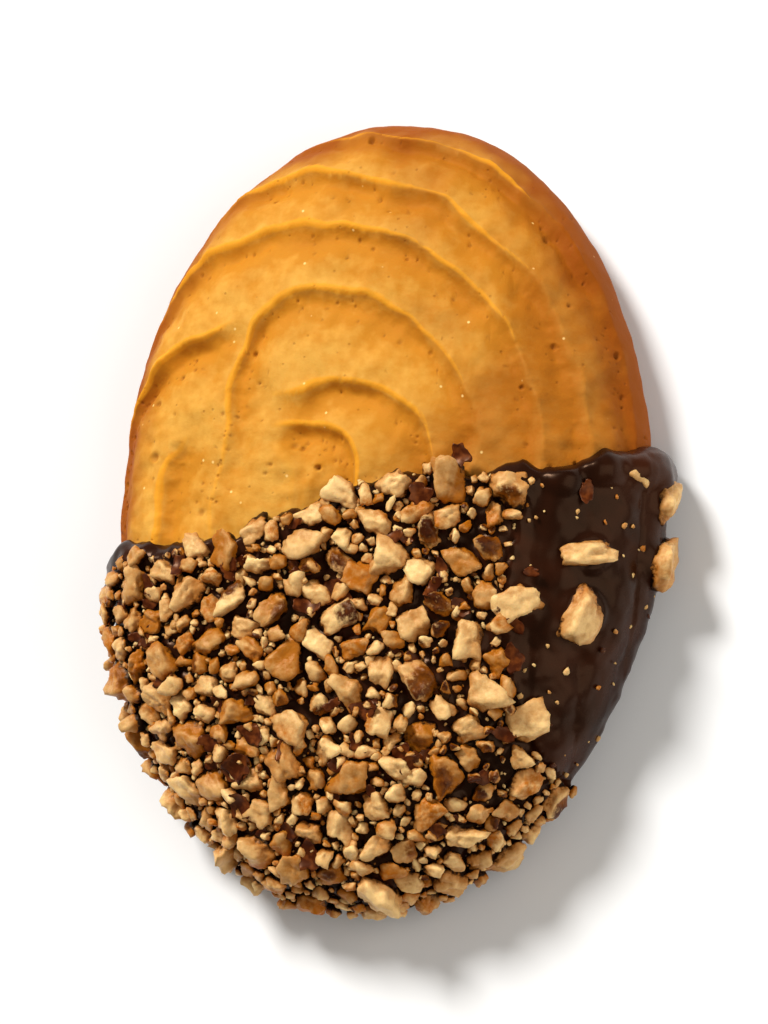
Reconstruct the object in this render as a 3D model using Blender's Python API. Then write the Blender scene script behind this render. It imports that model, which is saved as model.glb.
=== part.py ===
"""A large piped biscuit, its lower half dipped in dark chocolate and chopped hazelnuts.

The biscuit lies on its flat base with the piped side up. Its long axis is Y, with the plain end
towards +Y and the dipped end towards -Y. The origin is on the surface that it lies on, under the
middle of the whole. Run this in Blender 4.5 to build the two pieces.
"""

import math

import bmesh
import bpy
import numpy as np

MM = 0.001

# The biscuit.
LENGTH = 88 * MM
WIDTH = 62 * MM
HEIGHT = 15 * MM
WAIST = 3 * MM  # height of its widest line above its base
DOME_POWER = 3.0  # how flat its top is before it falls to the rim
FOOT_POWER = 24.0  # how square its rim meets the base
FULLER = 0.015  # share by which one side of the outline swells
FULLER_TOWARDS = math.radians(215)
OUTLINE_WAVES = ((0.006, 3, 1.0), (0.005, 5, 2.3))  # share of the radius, waves in a turn, start

# The piped swirl: grooves round an eye, each by its distance and depth at angles round that eye.
EYE = (-6.2 * MM, 1.0 * MM)
RIDGE_DEPTH = 2.0 * MM
RIDGE_ZERO = 0.55  # share of the depth that lies below the smooth body
STEEP_FLANK = 1.3 * MM
GENTLE_FLANK = 2.5 * MM
GROOVE_ROUNDING = 0.8 * MM
BEND_LENGTH = 2.5 * MM  # how softly the arches turn into straight legs beside the eye
EYE_SOFTNESS = 1.5 * MM  # width over which the left side's grooves blend into the right side's, below the eye
FLAT_TO = 5.5 * MM  # drop below the top at which the pattern begins to follow the side wall
WALL_UNROLLED = 0.8  # how much of the side wall's height counts as distance from the eye
RIDGE_FADE = 4.5 * MM  # height over which the ridges die out towards the base
GROOVES = {
    "eye": (((0, 5.1), (110, 5.2), (180, 5.8)), ((0, 1.0), (100, 1.1), (130, 0.0))),
    "inner": (
        ((0, 15.2), (45, 13.0), (85, 10.3), (95, 9.0), (125, 9.6)),
        ((0, 0.9), (95, 0.9), (122, 0.0)),
    ),
    "first": (
        ((0, 20.5), (90, 22.0), (104, 21.2), (123, 16.5), (142, 11.6), (162, 10.2), (180, 11.6)),
        ((0, 0.6), (90, 1.0), (140, 1.0), (180, 0.9)),
    ),
    "pit": (((171, 15.8), (180, 19.6)), ((163, 0.0), (170, 1.0))),
    "second": (((129, 20.5), (139, 24.2), (147, 26.5), (180, 31.0)), ((118, 0.0), (130, 1.3))),
    "third": (
        ((0, 26.3), (90, 28.2), (117, 28.2), (134, 32.0), (180, 36.0)),
        ((0, 0.6), (70, 1.0), (130, 1.1)),
    ),
    "fourth": (((0, 31.4), (90, 35.0), (135, 38.0)), ((0, 0.7), (60, 1.0))),
    "rim": (((0, 38.0), (90, 42.0), (135, 45.0)), ((0, 1.2), (60, 1.0))),
}
COURSE_WINDOW = 9  # degrees over which a groove's course is smoothed
DEPTH_WINDOW = 6  # degrees over which its depth is

# The chocolate.
COAT_THICKNESS = 1.5 * MM
UNDER_THICKNESS = 1.1 * MM
COAT_FILL = 0.45  # share of the ridges' relief that still shows through the chocolate
CLEARANCE = 0.3 * MM
DIP_MIDDLE = -1.0 * MM
DIP_SLOPE = 0.26
DIP_BEND = -2.0  # per metre
# Waves in the edge of the chocolate: height, turn per metre, start.
DIP_WAVES = ((1.1 * MM, 196.0, 0.79), (0.5 * MM, 700.0, 2.0), (0.25 * MM, 1500.0, 0.5))
DIP_POINTS = 57

# The bare patch of chocolate on the right, an ellipse in plan.
BARE_CENTRE = (27.5 * MM, -13.0 * MM)
BARE_HALF = (10.2 * MM, 20.5 * MM)

# The chopped hazelnuts.
NUT_SEED = 41
NUT_COUNT = 128
NUT_LARGEST = 5.2 * MM
NUT_LARGE_COUNT = 40.0  # rank at which the sizes have begun to fall
NUT_FALL = 0.4
NUT_LONG = 1.12  # length and width of a piece, as shares of its size
NUT_SLIM = 0.88
NUT_HEIGHT = (0.65, 0.9)
NUT_SPACING = 0.42  # least distance between two pieces, as a share of their summed sizes
NUT_TRIES = 30
NUT_PROUD = 0.08  # how far a piece's middle stands over the chocolate, as a share of its height
NUT_LOW = 1.8 * MM  # no piece's middle is closer to the base
NUT_EDGE = 0.8 * MM  # distance kept from the chocolate's edge
CUT_TILT = 0.25  # how far the six flat sides of a piece lean
CUT_DEPTH = (0.40, 0.50)
CHOPS = 3  # further cuts across its corners
CHOP_DEPTH = (0.34, 0.44)
CUT_SHARPNESS = 10
# Pieces on the bare patch and at the rim beside it: x, y, length, width, turn in degrees.
LONE_NUTS = (
    (25.0, -12.7, 7.0, 5.0, 80),
    (25.6, -6.4, 6.5, 3.2, 10),
    (19.0, -12.5, 4.4, 4.2, 30),
    (19.4, -25.3, 4.8, 4.2, 20),
    (31.4, 0.6, 6.0, 3.8, 95),
    (31.6, -6.6, 5.6, 3.8, 85),
    (29.6, 3.4, 4.0, 3.0, 60),
)
RIM_SHARE = 0.97  # how near to the widest line such a piece may lie

# The meshes.
CAP_WELD = 0.001 * MM
SEGMENTS = 88
RINGS = 27
BASE_RINGS = 2  # how many of the rings lie on the flat base
BASE_LEVEL = 0.05 * MM
COAT_SEGMENTS = 56
COAT_RINGS = 18
DENSER = 0.3  # how much closer the segments stand at the plain end

# Where the middle of the whole lies in the biscuit's own frame.
MIDDLE_X = 0.95 * MM
MIDDLE_Y = -1.91 * MM

BISCUIT_COLOUR = (0.74, 0.33, 0.08, 1)
CHOCOLATE_COLOUR = (0.06, 0.02, 0.01, 1)


def outline(angle):
    """Distance from the middle to the widest line, in plan."""
    half_width = WIDTH / 2
    half_length = LENGTH / 2
    ellipse = half_width * half_length / np.hypot(half_length * np.cos(angle), half_width * np.sin(angle))
    uneven = sum(share * np.sin(waves * angle + start) for share, waves, start in OUTLINE_WAVES)
    return ellipse * (1 + FULLER * np.cos(angle - FULLER_TOWARDS) + uneven)


def profile():
    """The section from the top over the rim to the middle of the base: share of its length, reach, level."""
    turn = np.linspace(0, math.pi, 601)
    sine = np.clip(np.sin(turn), 0, 1)
    above = turn < math.pi / 2
    reach = np.where(above, sine ** (2 / DOME_POWER), sine ** (2 / FOOT_POWER))
    level = WAIST + np.where(above, HEIGHT - WAIST, WAIST) * np.cos(turn)
    mean_radius = (WIDTH + LENGTH) / 4
    steps = np.hypot(mean_radius * np.diff(reach), np.diff(level))
    length = np.concatenate([[0], np.cumsum(steps)])
    return length / length[-1], reach, level


SHARE, REACH, LEVEL = profile()
WAIST_AT = len(SHARE) // 2
WAIST_SHARE = SHARE[WAIST_AT]


def from_plan(x, y):
    """Angle and share of the points of the upper side that lie at x, y in plan."""
    angle = np.arctan2(y, x)
    reach = np.hypot(x, y) / outline(angle)
    return angle, np.interp(reach, REACH[: WAIST_AT + 1], SHARE[: WAIST_AT + 1])


def round_the_eye(angle, share):
    """Moves the middle of the upper side's grid to the eye, so that the rings run along the ridges."""
    reach = np.interp(share, SHARE, REACH)
    pull = np.where(share < WAIST_SHARE, 1 - reach, 0)
    x = outline(angle) * reach * np.cos(angle) + EYE[0] * pull
    y = outline(angle) * reach * np.sin(angle) + EYE[1] * pull
    moved_angle, moved_share = from_plan(x, y)
    above = share < WAIST_SHARE
    return np.where(above, moved_angle, angle), np.where(above, moved_share, share)


def smooth_body(angle, share):
    """Points of the biscuit without its ridges, and the directions that point out of it."""
    radius = outline(angle)
    reach = np.interp(share, SHARE, REACH)
    level = np.interp(share, SHARE, LEVEL)
    points = np.stack([radius * reach * np.cos(angle), radius * reach * np.sin(angle), level], axis=-1)
    out = -np.interp(share, SHARE, np.gradient(LEVEL, SHARE))
    up = radius * np.interp(share, SHARE, np.gradient(REACH, SHARE))
    plan_x = np.cos(angle) / WIDTH**2
    plan_y = np.sin(angle) / LENGTH**2
    plan = np.hypot(plan_x, plan_y)
    normals = np.stack([out * plan_x / plan, out * plan_y / plan, up], axis=-1)
    return points, normals / np.linalg.norm(normals, axis=-1, keepdims=True)


def spread(pairs, angle, window):
    """A value given at some angles, read between them and smoothed."""
    at, value = zip(*pairs)
    offsets = np.linspace(-window, window, 5)
    return sum(np.interp(angle + offset, at, value) for offset in offsets) / len(offsets)


def ridges(points):
    """Height of the piped relief, from about 0 in a groove to 1 on a crest."""
    x, y, z = np.moveaxis(points, -1, 0)
    wall = WALL_UNROLLED * np.maximum(0, HEIGHT - FLAT_TO - z)
    outwards = 1 + wall / np.maximum(np.hypot(x, y), WAIST)
    along = x * outwards - EYE[0]
    beyond = y * outwards - EYE[1]
    up = (beyond + np.hypot(beyond, BEND_LENGTH)) / 2
    distance = np.hypot(along, up)
    angle = np.degrees(np.arctan2(np.hypot(up, EYE_SOFTNESS), along))
    height = np.ones_like(x)
    for course, depth in GROOVES.values():
        away = distance - spread(course, angle, COURSE_WINDOW) * MM
        flank = np.where(away > 0, STEEP_FLANK, GENTLE_FLANK)
        sunk = np.exp(-np.hypot(away, GROOVE_ROUNDING) / flank)
        height = height - spread(depth, angle, DEPTH_WINDOW) * sunk
    return height


def relief(points):
    """How far the ridges stand out of the smooth body."""
    fade = np.clip(points[..., 2] / RIDGE_FADE, 0, 1) ** 2
    return RIDGE_DEPTH * (ridges(points) - RIDGE_ZERO) * fade


def biscuit_surface(angle, share):
    points, normals = smooth_body(angle, share)
    return points + normals * relief(points)[..., None]


def clearance_surface(angle, share):
    """The biscuit's surface, moved out by the gap that the chocolate keeps to it."""
    points, normals = smooth_body(angle, share)
    return points + normals * (relief(points) + CLEARANCE)[..., None]


def coat_surface(angle, share):
    points, normals = smooth_body(angle, share)
    return points + normals * (COAT_FILL * relief(points) + COAT_THICKNESS)[..., None]


def dip_line(x):
    """How far up the biscuit the chocolate reaches."""
    waves = sum(height * np.sin(turn * x + start) for height, turn, start in DIP_WAVES)
    return DIP_MIDDLE + DIP_SLOPE * x + DIP_BEND * x**2 + waves


def on_bare_patch(x, y):
    return ((x - BARE_CENTRE[0]) / BARE_HALF[0]) ** 2 + ((y - BARE_CENTRE[1]) / BARE_HALF[1]) ** 2 < 1


def nut_size(rank):
    return NUT_LARGEST * (1 + rank / NUT_LARGE_COUNT) ** -NUT_FALL


def lone_spots():
    """The pieces that are placed by hand, as angle, share, length, width and turn."""
    spots = []
    for x, y, length, width, turn in LONE_NUTS:
        angle, share = from_plan(x * MM, y * MM)
        share = min(share, RIM_SHARE * WAIST_SHARE)
        spots.append((angle, share, length * MM, width * MM, math.radians(turn)))
    return spots


def nut_spots(count):
    """Angle, share, length, width and turn of each piece: the largest first, each in the widest gap found."""
    random = np.random.default_rng(NUT_SEED)
    spots = lone_spots()
    taken = [coat_surface(np.float64(angle), np.float64(share)) for angle, share, *_ in spots]
    sizes = [(length + width) / 2 for _, _, length, width, _ in spots]
    rank = 0
    while len(spots) < count:
        size = nut_size(rank)
        rank += 1
        turn = random.uniform(0, 2 * math.pi, NUT_TRIES)
        angle = np.arctan2(LENGTH * np.sin(turn), WIDTH * np.cos(turn))
        share = WAIST_SHARE * np.sqrt(random.uniform(0, 1, NUT_TRIES))
        lie = random.uniform(0, math.pi)
        middle = coat_surface(angle, share)
        x, y, z = middle.T
        free = (y < dip_line(x) - NUT_EDGE) & (z > NUT_LOW) & ~on_bare_patch(x, y)
        apart = np.linalg.norm(middle[:, None] - np.array(taken), axis=2)
        gap = (apart - NUT_SPACING * (np.array(sizes) + size)).min(axis=1)
        best = np.where(free, gap, -1).argmax()
        if free[best] and gap[best] > 0:
            spots.append((angle[best], share[best], NUT_LONG * size, NUT_SLIM * size, lie))
            taken.append(middle[best])
            sizes.append(size)
    return spots


def new_object(name, mesh, collection, parent):
    obj = bpy.data.objects.new(name, mesh)
    collection.objects.link(obj)
    obj.parent = parent
    return obj


def material(name, colour, roughness):
    made = bpy.data.materials.new(name)
    made.use_nodes = True
    shader = made.node_tree.nodes["Principled BSDF"]
    shader.inputs["Base Color"].default_value = colour
    shader.inputs["Roughness"].default_value = roughness
    shader.inputs["Metallic"].default_value = 0.0
    return made


def wrapped_sphere(name, segments, rings, surface):
    """A sphere whose vertices are moved onto a surface that is given by angle and share."""
    bm = bmesh.new()
    bmesh.ops.create_uvsphere(bm, u_segments=segments, v_segments=rings, radius=1)
    # Each face is split the same way, so that two surfaces with a gap between them keep it.
    bmesh.ops.triangulate(bm, faces=bm.faces, quad_method="FIXED")
    directions = np.array([vertex.co[:] for vertex in bm.verts])
    turn = np.arctan2(directions[:, 1], directions[:, 0])
    angle = turn + DENSER * np.cos(turn)
    ring = np.arccos(np.clip(directions[:, 2], -1, 1)) / math.pi
    foot_share = np.interp(BASE_LEVEL, LEVEL[WAIST_AT:][::-1], SHARE[WAIST_AT:][::-1])
    share = np.interp(ring, (0, 1 - BASE_RINGS / rings, 1), (0, foot_share, 1))
    for vertex, place in zip(bm.verts, surface(*round_the_eye(angle, share))):
        vertex.co = place
    mesh = bpy.data.meshes.new(name)
    bm.to_mesh(mesh)
    bm.free()
    mesh.shade_smooth()
    return mesh


def nut_radius(directions, random):
    """How far a chopped piece reaches each way, for a size of 1: flat cuts with worn edges."""
    axes = np.concatenate([np.eye(3), -np.eye(3)]) + random.normal(0, CUT_TILT, (6, 3))
    chops = random.normal(0, 1, (CHOPS, 3))
    cuts = np.concatenate([axes, chops])
    cuts /= np.linalg.norm(cuts, axis=1, keepdims=True)
    depth = np.concatenate([random.uniform(*CUT_DEPTH, len(axes)), random.uniform(*CHOP_DEPTH, CHOPS)])
    facing = np.maximum(directions @ cuts.T, 0) / depth
    return (facing**CUT_SHARPNESS).sum(axis=1) ** (-1 / CUT_SHARPNESS)


def nut_mesh(name, spot, random):
    """One piece, lying with its flat side on the chocolate."""
    angle, share, length, width, turn = spot
    bm = bmesh.new()
    bmesh.ops.create_icosphere(bm, subdivisions=1, radius=1)
    directions = np.array([vertex.co[:] for vertex in bm.verts])
    points = directions * nut_radius(directions, random)[:, None]
    height = (length + width) / 2 * random.uniform(*NUT_HEIGHT)
    points *= (length, width, height)
    middle = coat_surface(angle, share)
    _, up = smooth_body(angle, share)
    side = np.cross((1, 0, 0) if abs(up[1]) > 0.7 else (0, 1, 0), up)
    side /= np.linalg.norm(side)
    ahead = np.cross(up, side)
    first = math.cos(turn) * side + math.sin(turn) * ahead
    second = np.cross(up, first)
    middle = middle + up * (NUT_PROUD * height)
    places = middle + points @ np.stack([first, second, up])
    for vertex, place in zip(bm.verts, places):
        vertex.co = place
    mesh = bpy.data.meshes.new(name)
    bm.to_mesh(mesh)
    bm.free()
    return mesh


def plain_end_cutter(collection, parent):
    """A block over the plain end, whose edge follows the chocolate's edge."""
    side = 0.7 * WIDTH
    points = [(x, dip_line(x)) for x in np.linspace(-side, side, DIP_POINTS)]
    points += [(side, LENGTH), (-side, LENGTH)]
    curve = bpy.data.curves.new("plain_end", "CURVE")
    curve.dimensions = "2D"
    curve.fill_mode = "BOTH"
    curve.extrude = 2 * HEIGHT
    spline = curve.splines.new("POLY")
    spline.points.add(len(points) - 1)
    for point, (x, y) in zip(spline.points, points):
        point.co = (x, y, 0, 1)
    spline.use_cyclic_u = True
    guide = new_object("plain_end_outline", curve, collection, parent)
    bpy.context.view_layer.update()
    evaluated = guide.evaluated_get(bpy.context.evaluated_depsgraph_get())
    mesh = bpy.data.meshes.new_from_object(evaluated)
    bpy.data.objects.remove(guide)
    welding = bmesh.new()
    welding.from_mesh(mesh)
    bmesh.ops.remove_doubles(welding, verts=welding.verts, dist=CAP_WELD)
    bmesh.ops.recalc_face_normals(welding, faces=welding.faces)
    welding.to_mesh(mesh)
    welding.free()
    return new_object("plain_end", mesh, collection, parent)


def floor_cutter(collection, parent):
    """A block below the surface that the biscuit lies on."""
    bm = bmesh.new()
    bmesh.ops.create_cube(bm, size=1)
    for vertex in bm.verts:
        x, y, z = vertex.co
        vertex.co = (2 * WIDTH * x, 2 * LENGTH * y, 2 * HEIGHT * (z - 0.5) - UNDER_THICKNESS)
    mesh = bpy.data.meshes.new("below")
    bm.to_mesh(mesh)
    bm.free()
    return new_object("below", mesh, collection, parent)


def boolean(obj, operation, other):
    modifier = obj.modifiers.new(operation.lower(), "BOOLEAN")
    modifier.operation = operation
    modifier.solver = "EXACT"
    if isinstance(other, bpy.types.Collection):
        modifier.operand_type = "COLLECTION"
        modifier.collection = other
    else:
        modifier.object = other


def apply_modifiers(obj):
    bpy.context.view_layer.update()
    evaluated = obj.evaluated_get(bpy.context.evaluated_depsgraph_get())
    mesh = bpy.data.meshes.new_from_object(evaluated)
    obj.modifiers.clear()
    obj.data = mesh


def keep_largest_body(obj):
    """Drops loose scraps and fills sealed hollows, which are bodies of their own in the mesh."""
    bm = bmesh.new()
    bm.from_mesh(obj.data)
    waiting = set(bm.verts)
    bodies = []
    while waiting:
        edge = [waiting.pop()]
        body = set(edge)
        while edge:
            vertex = edge.pop()
            for link in vertex.link_edges:
                other = link.other_vert(vertex)
                if other not in body:
                    body.add(other)
                    edge.append(other)
        waiting -= body
        bodies.append(body)
    largest = max(bodies, key=len)
    loose = [vertex for vertex in bm.verts if vertex not in largest]
    bmesh.ops.delete(bm, geom=loose, context="VERTS")
    bm.to_mesh(obj.data)
    bm.free()


def make_biscuit(parts, parent):
    mesh = wrapped_sphere("biscuit", SEGMENTS, RINGS, biscuit_surface)
    mesh.materials.append(material("baked_biscuit", BISCUIT_COLOUR, 0.6))
    return new_object("biscuit", mesh, parts, parent)


def make_coat(parts, cutters, parent):
    """The chocolate as a cup round the dipped end, with the nuts fused to it."""
    mesh = wrapped_sphere("coat", COAT_SEGMENTS, COAT_RINGS, coat_surface)
    coat = new_object("chocolate_nut_coat", mesh, parts, parent)
    boolean(coat, "DIFFERENCE", plain_end_cutter(cutters, parent))
    apply_modifiers(coat)
    nuts = bpy.data.collections.new("nuts")
    bpy.context.scene.collection.children.link(nuts)
    for number, spot in enumerate(nut_spots(NUT_COUNT)):
        random = np.random.default_rng((NUT_SEED, number))
        new_object(f"nut_{number:03d}", nut_mesh("nut", spot, random), nuts, parent)
    boolean(coat, "UNION", nuts)
    apply_modifiers(coat)
    for nut in list(nuts.objects):
        bpy.data.objects.remove(nut)
    bpy.data.collections.remove(nuts)
    room_mesh = wrapped_sphere("room", SEGMENTS, RINGS, clearance_surface)
    room = new_object("room", room_mesh, cutters, parent)
    boolean(coat, "DIFFERENCE", room)
    boolean(coat, "DIFFERENCE", floor_cutter(cutters, parent))
    apply_modifiers(coat)
    keep_largest_body(coat)
    coat.data.materials.clear()
    coat.data.materials.append(material("dark_chocolate", CHOCOLATE_COLOUR, 0.35))
    return coat


def main():
    for obj in list(bpy.data.objects):
        bpy.data.objects.remove(obj)
    parts = bpy.data.collections.new("hazelnut_biscuit")
    cutters = bpy.data.collections.new("cutters")
    bpy.context.scene.collection.children.link(parts)
    bpy.context.scene.collection.children.link(cutters)
    middle = bpy.data.objects.new("middle", None)
    parts.objects.link(middle)
    middle.location = (-MIDDLE_X, -MIDDLE_Y, UNDER_THICKNESS)
    make_biscuit(parts, middle)
    make_coat(parts, cutters, middle)
    for cutter in cutters.objects:
        cutter.hide_render = True
        cutter.display_type = "WIRE"


main()
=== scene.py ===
"""A large piped biscuit, its lower half dipped in dark chocolate and chopped hazelnuts.

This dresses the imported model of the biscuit: the baked dough with its piped ridges and pores, the
chocolate with its rounded edge, and the hazelnut pieces, skins and crumbs set in it. It is laid out as
an add-on, with one operator for each group of pieces, and is run as a script.
"""

import math

import bmesh
import bpy
import numpy as np
from bpy.props import FloatProperty, FloatVectorProperty, IntProperty, PointerProperty
from mathutils import Matrix, Vector, noise


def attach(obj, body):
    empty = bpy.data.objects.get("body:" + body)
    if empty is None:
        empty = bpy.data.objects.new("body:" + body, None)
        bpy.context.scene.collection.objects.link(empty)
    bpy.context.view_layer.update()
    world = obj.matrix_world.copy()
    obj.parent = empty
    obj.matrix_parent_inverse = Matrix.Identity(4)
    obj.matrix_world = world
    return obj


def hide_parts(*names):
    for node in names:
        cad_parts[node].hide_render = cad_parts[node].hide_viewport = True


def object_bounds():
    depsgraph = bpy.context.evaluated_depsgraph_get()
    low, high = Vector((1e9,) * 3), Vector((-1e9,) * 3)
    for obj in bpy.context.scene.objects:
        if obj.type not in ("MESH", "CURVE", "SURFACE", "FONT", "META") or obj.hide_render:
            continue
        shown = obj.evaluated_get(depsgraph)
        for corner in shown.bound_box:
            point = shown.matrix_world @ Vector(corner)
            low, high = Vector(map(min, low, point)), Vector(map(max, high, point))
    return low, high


bl_info = {
    "name": "Hazelnut biscuit",
    "version": (1, 0, 0),
    "blender": (4, 5, 0),
    "location": "View3D > Sidebar > Biscuit",
    "description": "Makes a piped biscuit dipped in chocolate and chopped hazelnuts",
    "category": "Add Mesh",
}

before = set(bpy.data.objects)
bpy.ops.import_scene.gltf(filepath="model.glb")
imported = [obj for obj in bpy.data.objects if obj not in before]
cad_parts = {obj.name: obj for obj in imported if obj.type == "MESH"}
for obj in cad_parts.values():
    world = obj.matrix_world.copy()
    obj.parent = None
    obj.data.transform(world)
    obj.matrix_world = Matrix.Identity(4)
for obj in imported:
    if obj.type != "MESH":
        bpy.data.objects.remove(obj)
CAD_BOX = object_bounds()

MM = 0.001

# Where the middle of the whole lies in the biscuit's own frame.
MIDDLE_X = 0.95 * MM
MIDDLE_Y = -1.91 * MM

# The outline and the section.
DOME_POWER = 3.0  # how flat the top is before it falls to the rim
FOOT_POWER = 24.0  # how square the rim meets the base
FULLER = 0.015  # share by which one side of the outline swells
FULLER_TOWARDS = math.radians(215)
OUTLINE_WAVES = ((0.006, 3, 1.0), (0.005, 5, 2.3))  # share of the radius, waves in a turn, start
BASE_LEVEL = 0.05 * MM

# The piped swirl: grooves round an eye, each by its distance and depth at angles round that eye.
EYE = (-6.2 * MM, 1.0 * MM)
RIDGE_ZERO = 0.55  # share of the depth that lies below the smooth body
STEEP_FLANK = 1.3 * MM
GENTLE_FLANK = 2.5 * MM
GROOVE_ROUNDING = 0.8 * MM
BEND_LENGTH = 2.5 * MM
EYE_SOFTNESS = 1.5 * MM
FLAT_TO = 5.5 * MM
WALL_UNROLLED = 0.8
RIDGE_FADE = 4.5 * MM
GROOVES = {
    "eye": (((0, 5.1), (110, 5.2), (180, 5.8)), ((0, 1.0), (100, 1.1), (130, 0.0))),
    "inner": (
        ((0, 15.2), (45, 13.0), (85, 10.3), (95, 9.0), (125, 9.6)),
        ((0, 0.9), (95, 0.9), (122, 0.0)),
    ),
    "first": (
        ((0, 20.5), (90, 22.0), (104, 21.2), (123, 16.5), (142, 11.6), (162, 10.2), (180, 11.6)),
        ((0, 0.6), (90, 1.0), (140, 1.0), (180, 0.9)),
    ),
    "pit": (((171, 15.8), (180, 19.6)), ((163, 0.0), (170, 1.0))),
    "second": (((129, 20.5), (139, 24.2), (147, 26.5), (180, 31.0)), ((118, 0.0), (130, 1.3))),
    "third": (
        ((0, 26.3), (90, 28.2), (117, 28.2), (134, 32.0), (180, 36.0)),
        ((0, 0.6), (70, 1.0), (130, 1.1)),
    ),
    "fourth": (((0, 31.4), (90, 35.0), (135, 38.0)), ((0, 0.7), (60, 1.0))),
    "rim": (((0, 38.0), (90, 42.0), (135, 45.0)), ((0, 1.2), (60, 1.0))),
}
SLOPE_WIDTH = 1.6 * MM
SLOPE_CURVE = 1.6
CRISP_DEPTH = 0.8  # share of a groove's depth that is left when crisp
INWARDS = {  # how far each groove lies further in when crisp, by angle
    "eye": ((0, 0.2),),
    "inner": ((0, 1.0),),
    "first": ((0, 2.2),),
    "pit": ((0, 1.5),),
    "second": ((129, 2.2), (139, 3.8), (147, 4.8), (158, 3.9)),
    "third": ((108, 1.0), (122, 1.1), (134, 3.8)),
    "fourth": ((0, 1.6),),
    "rim": ((0, 1.6),),
}
CREST_ROUNDING = 0.1
CREST_LIP = 0.08
LIP_WIDTH = 0.45 * MM
FAINTER = {"first": ((0, 1.0), (125, 1.0), (142, 0.5), (180, 0.4))}
COURSE_WINDOW = 9  # degrees over which a groove's course is smoothed
DEPTH_WINDOW = 6

# The edge of the chocolate, and the bare patch on its right.
COAT_FILL = 0.45  # share of the ridges' relief that still shows through the chocolate
DIP_MIDDLE = -1.0 * MM
DIP_SLOPE = 0.26
DIP_BEND = -2.0  # per metre
DIP_WAVES = ((1.1 * MM, 196.0, 0.79), (0.5 * MM, 700.0, 2.0), (0.25 * MM, 1500.0, 0.5))
BARE_CENTRE = (27.5 * MM, -13.0 * MM)
BARE_HALF = (10.2 * MM, 20.5 * MM)

# The hazelnut pieces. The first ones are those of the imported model.
NUT_LARGE_COUNT = 40.0  # how many pieces it takes for the size to begin to fall off
NUT_FALL = 0.4
NUT_LONG = 1.12
NUT_SLIM = 0.88
NUT_HEIGHT = (0.65, 0.9)  # share of a piece's mean width
NUT_SPACING = 0.42
NUT_TRIES = 30
NUT_PROUD = 0.08
NUT_LOW = 1.8 * MM
NUT_EDGE = 0.8 * MM
CUT_TILT = 0.25
CUT_DEPTH = (0.40, 0.50)
CHOPS = 3
CHOP_DEPTH = (0.34, 0.44)
# Pieces set one by one: x, y, length and width in mm, and turn in degrees.
LONE_NUTS = (
    (25.0, -12.7, 7.0, 5.0, 80),
    (25.6, -6.4, 6.5, 3.2, 10),
    (19.0, -12.5, 4.4, 4.2, 30),
    (19.4, -25.3, 4.8, 4.2, 20),
    (31.4, 0.6, 6.0, 3.8, 95),
    (31.6, -6.6, 5.6, 3.8, 85),
    (29.6, 3.4, 4.0, 3.0, 60),
)
RIM_SHARE = 0.97
SOLID_NUTS = 128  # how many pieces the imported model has

# How the eye sees the pieces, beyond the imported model.
NUT_SHARPNESS = 13  # how crisp the edges between the cuts are
LONE_TRIM = 0.98  # how much smaller than its place a piece is cut
NUT_TRIM = 0.9
SMALL_TRIM = 0.92
STONE_LUMPS = ((0.22, 0.8, 1, 2), (0.10, 0.28, 2, 3))  # height, width, seed and octaves, for a size of 1
BITES = 4
BITE_DEPTH = (0.02, 0.13)
BITE_WIDTH = 0.11
CHIPS = 9
CHIP_DEPTH = (0.76, 0.96)
HOLLOW_SHARE = 0.5  # share of the pieces that have one hollow side
HOLLOW_DEPTH = 0.28
SOLID_LEAN = 0.25
SMALL_LEAN = 1.3
SMALL_LIFT = 1.0 * MM
OUTSIDE_UP = 0.6  # how much the rounded outside of a kernel tends to face up
GAP_OUTSIDE_UP = 2.0
OUTSIDE_FROM = (0, 0.9)  # how far round a piece that side begins
OUTSIDE_BLEND = 1.8
SKIN_SHARE = 0.09  # share of the pieces with skin on that side
GAP_SKIN_SHARE = 0.7
ROAST_SHARE = 0.4  # share of the pieces whose outside is roasted in full,
PALE_ROAST = 0.2  # and how far it is on the others
# Painted shade on the lower part of each piece, from its foot up
LOWER_SHADE_FROM = 0.15
LOWER_SHADE_BLEND = 1.6
TINT_FALL = 1.3
LONE_TINT = 0.2  # the pieces set one by one are paler
LONE_ROAST = 0.6  # and less roasted

# Where few small pieces lie and the chocolate shows: x, y and half widths in mm.
DARK_GAPS = (
    (13.6, -5.4, 4.6, 3.8),
    (11.5, -15.6, 4.4, 4.4),
    (-9.0, -14.5, 4.4, 2.2),
    (-1.6, -16.8, 2.6, 2.4),
    (9.6, -23.4, 3.0, 3.2),
    (15.0, -29.4, 3.6, 4.6),
    (-4.6, -25.4, 2.6, 1.8),
    (-20.0, -7.0, 3.2, 1.8),
    (-1.0, -9.5, 3.0, 1.8),
)
GAP_REACH = 1.18  # how far past those half widths the gaps run
GAP_FILLER = 11  # one small piece in so many may lie there
GAP_CHANCE = 0.12  # and how likely a crumb or a flake stays there


def linear(hex_code):
    """An sRGB hex colour as the linear red, green and blue that Blender works in."""
    parts = [int(hex_code[at : at + 2], 16) / 255 for at in (1, 3, 5)]
    return tuple(part / 12.92 if part <= 0.04045 else ((part + 0.055) / 1.055) ** 2.4 for part in parts)


def colour(name, description, hex_code):
    return FloatVectorProperty(
        name=name, description=description, default=linear(hex_code), subtype="COLOR", size=3, min=0, max=1
    )


def length(name, description, default):
    return FloatProperty(
        name=name, description=description, default=default, min=0, precision=5, unit="LENGTH"
    )


def real(name, description, default, **kind):
    return FloatProperty(name=name, description=description, default=default, min=0, **kind)


def whole(name, description, default):
    return IntProperty(name=name, description=description, default=default, min=0)


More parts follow.
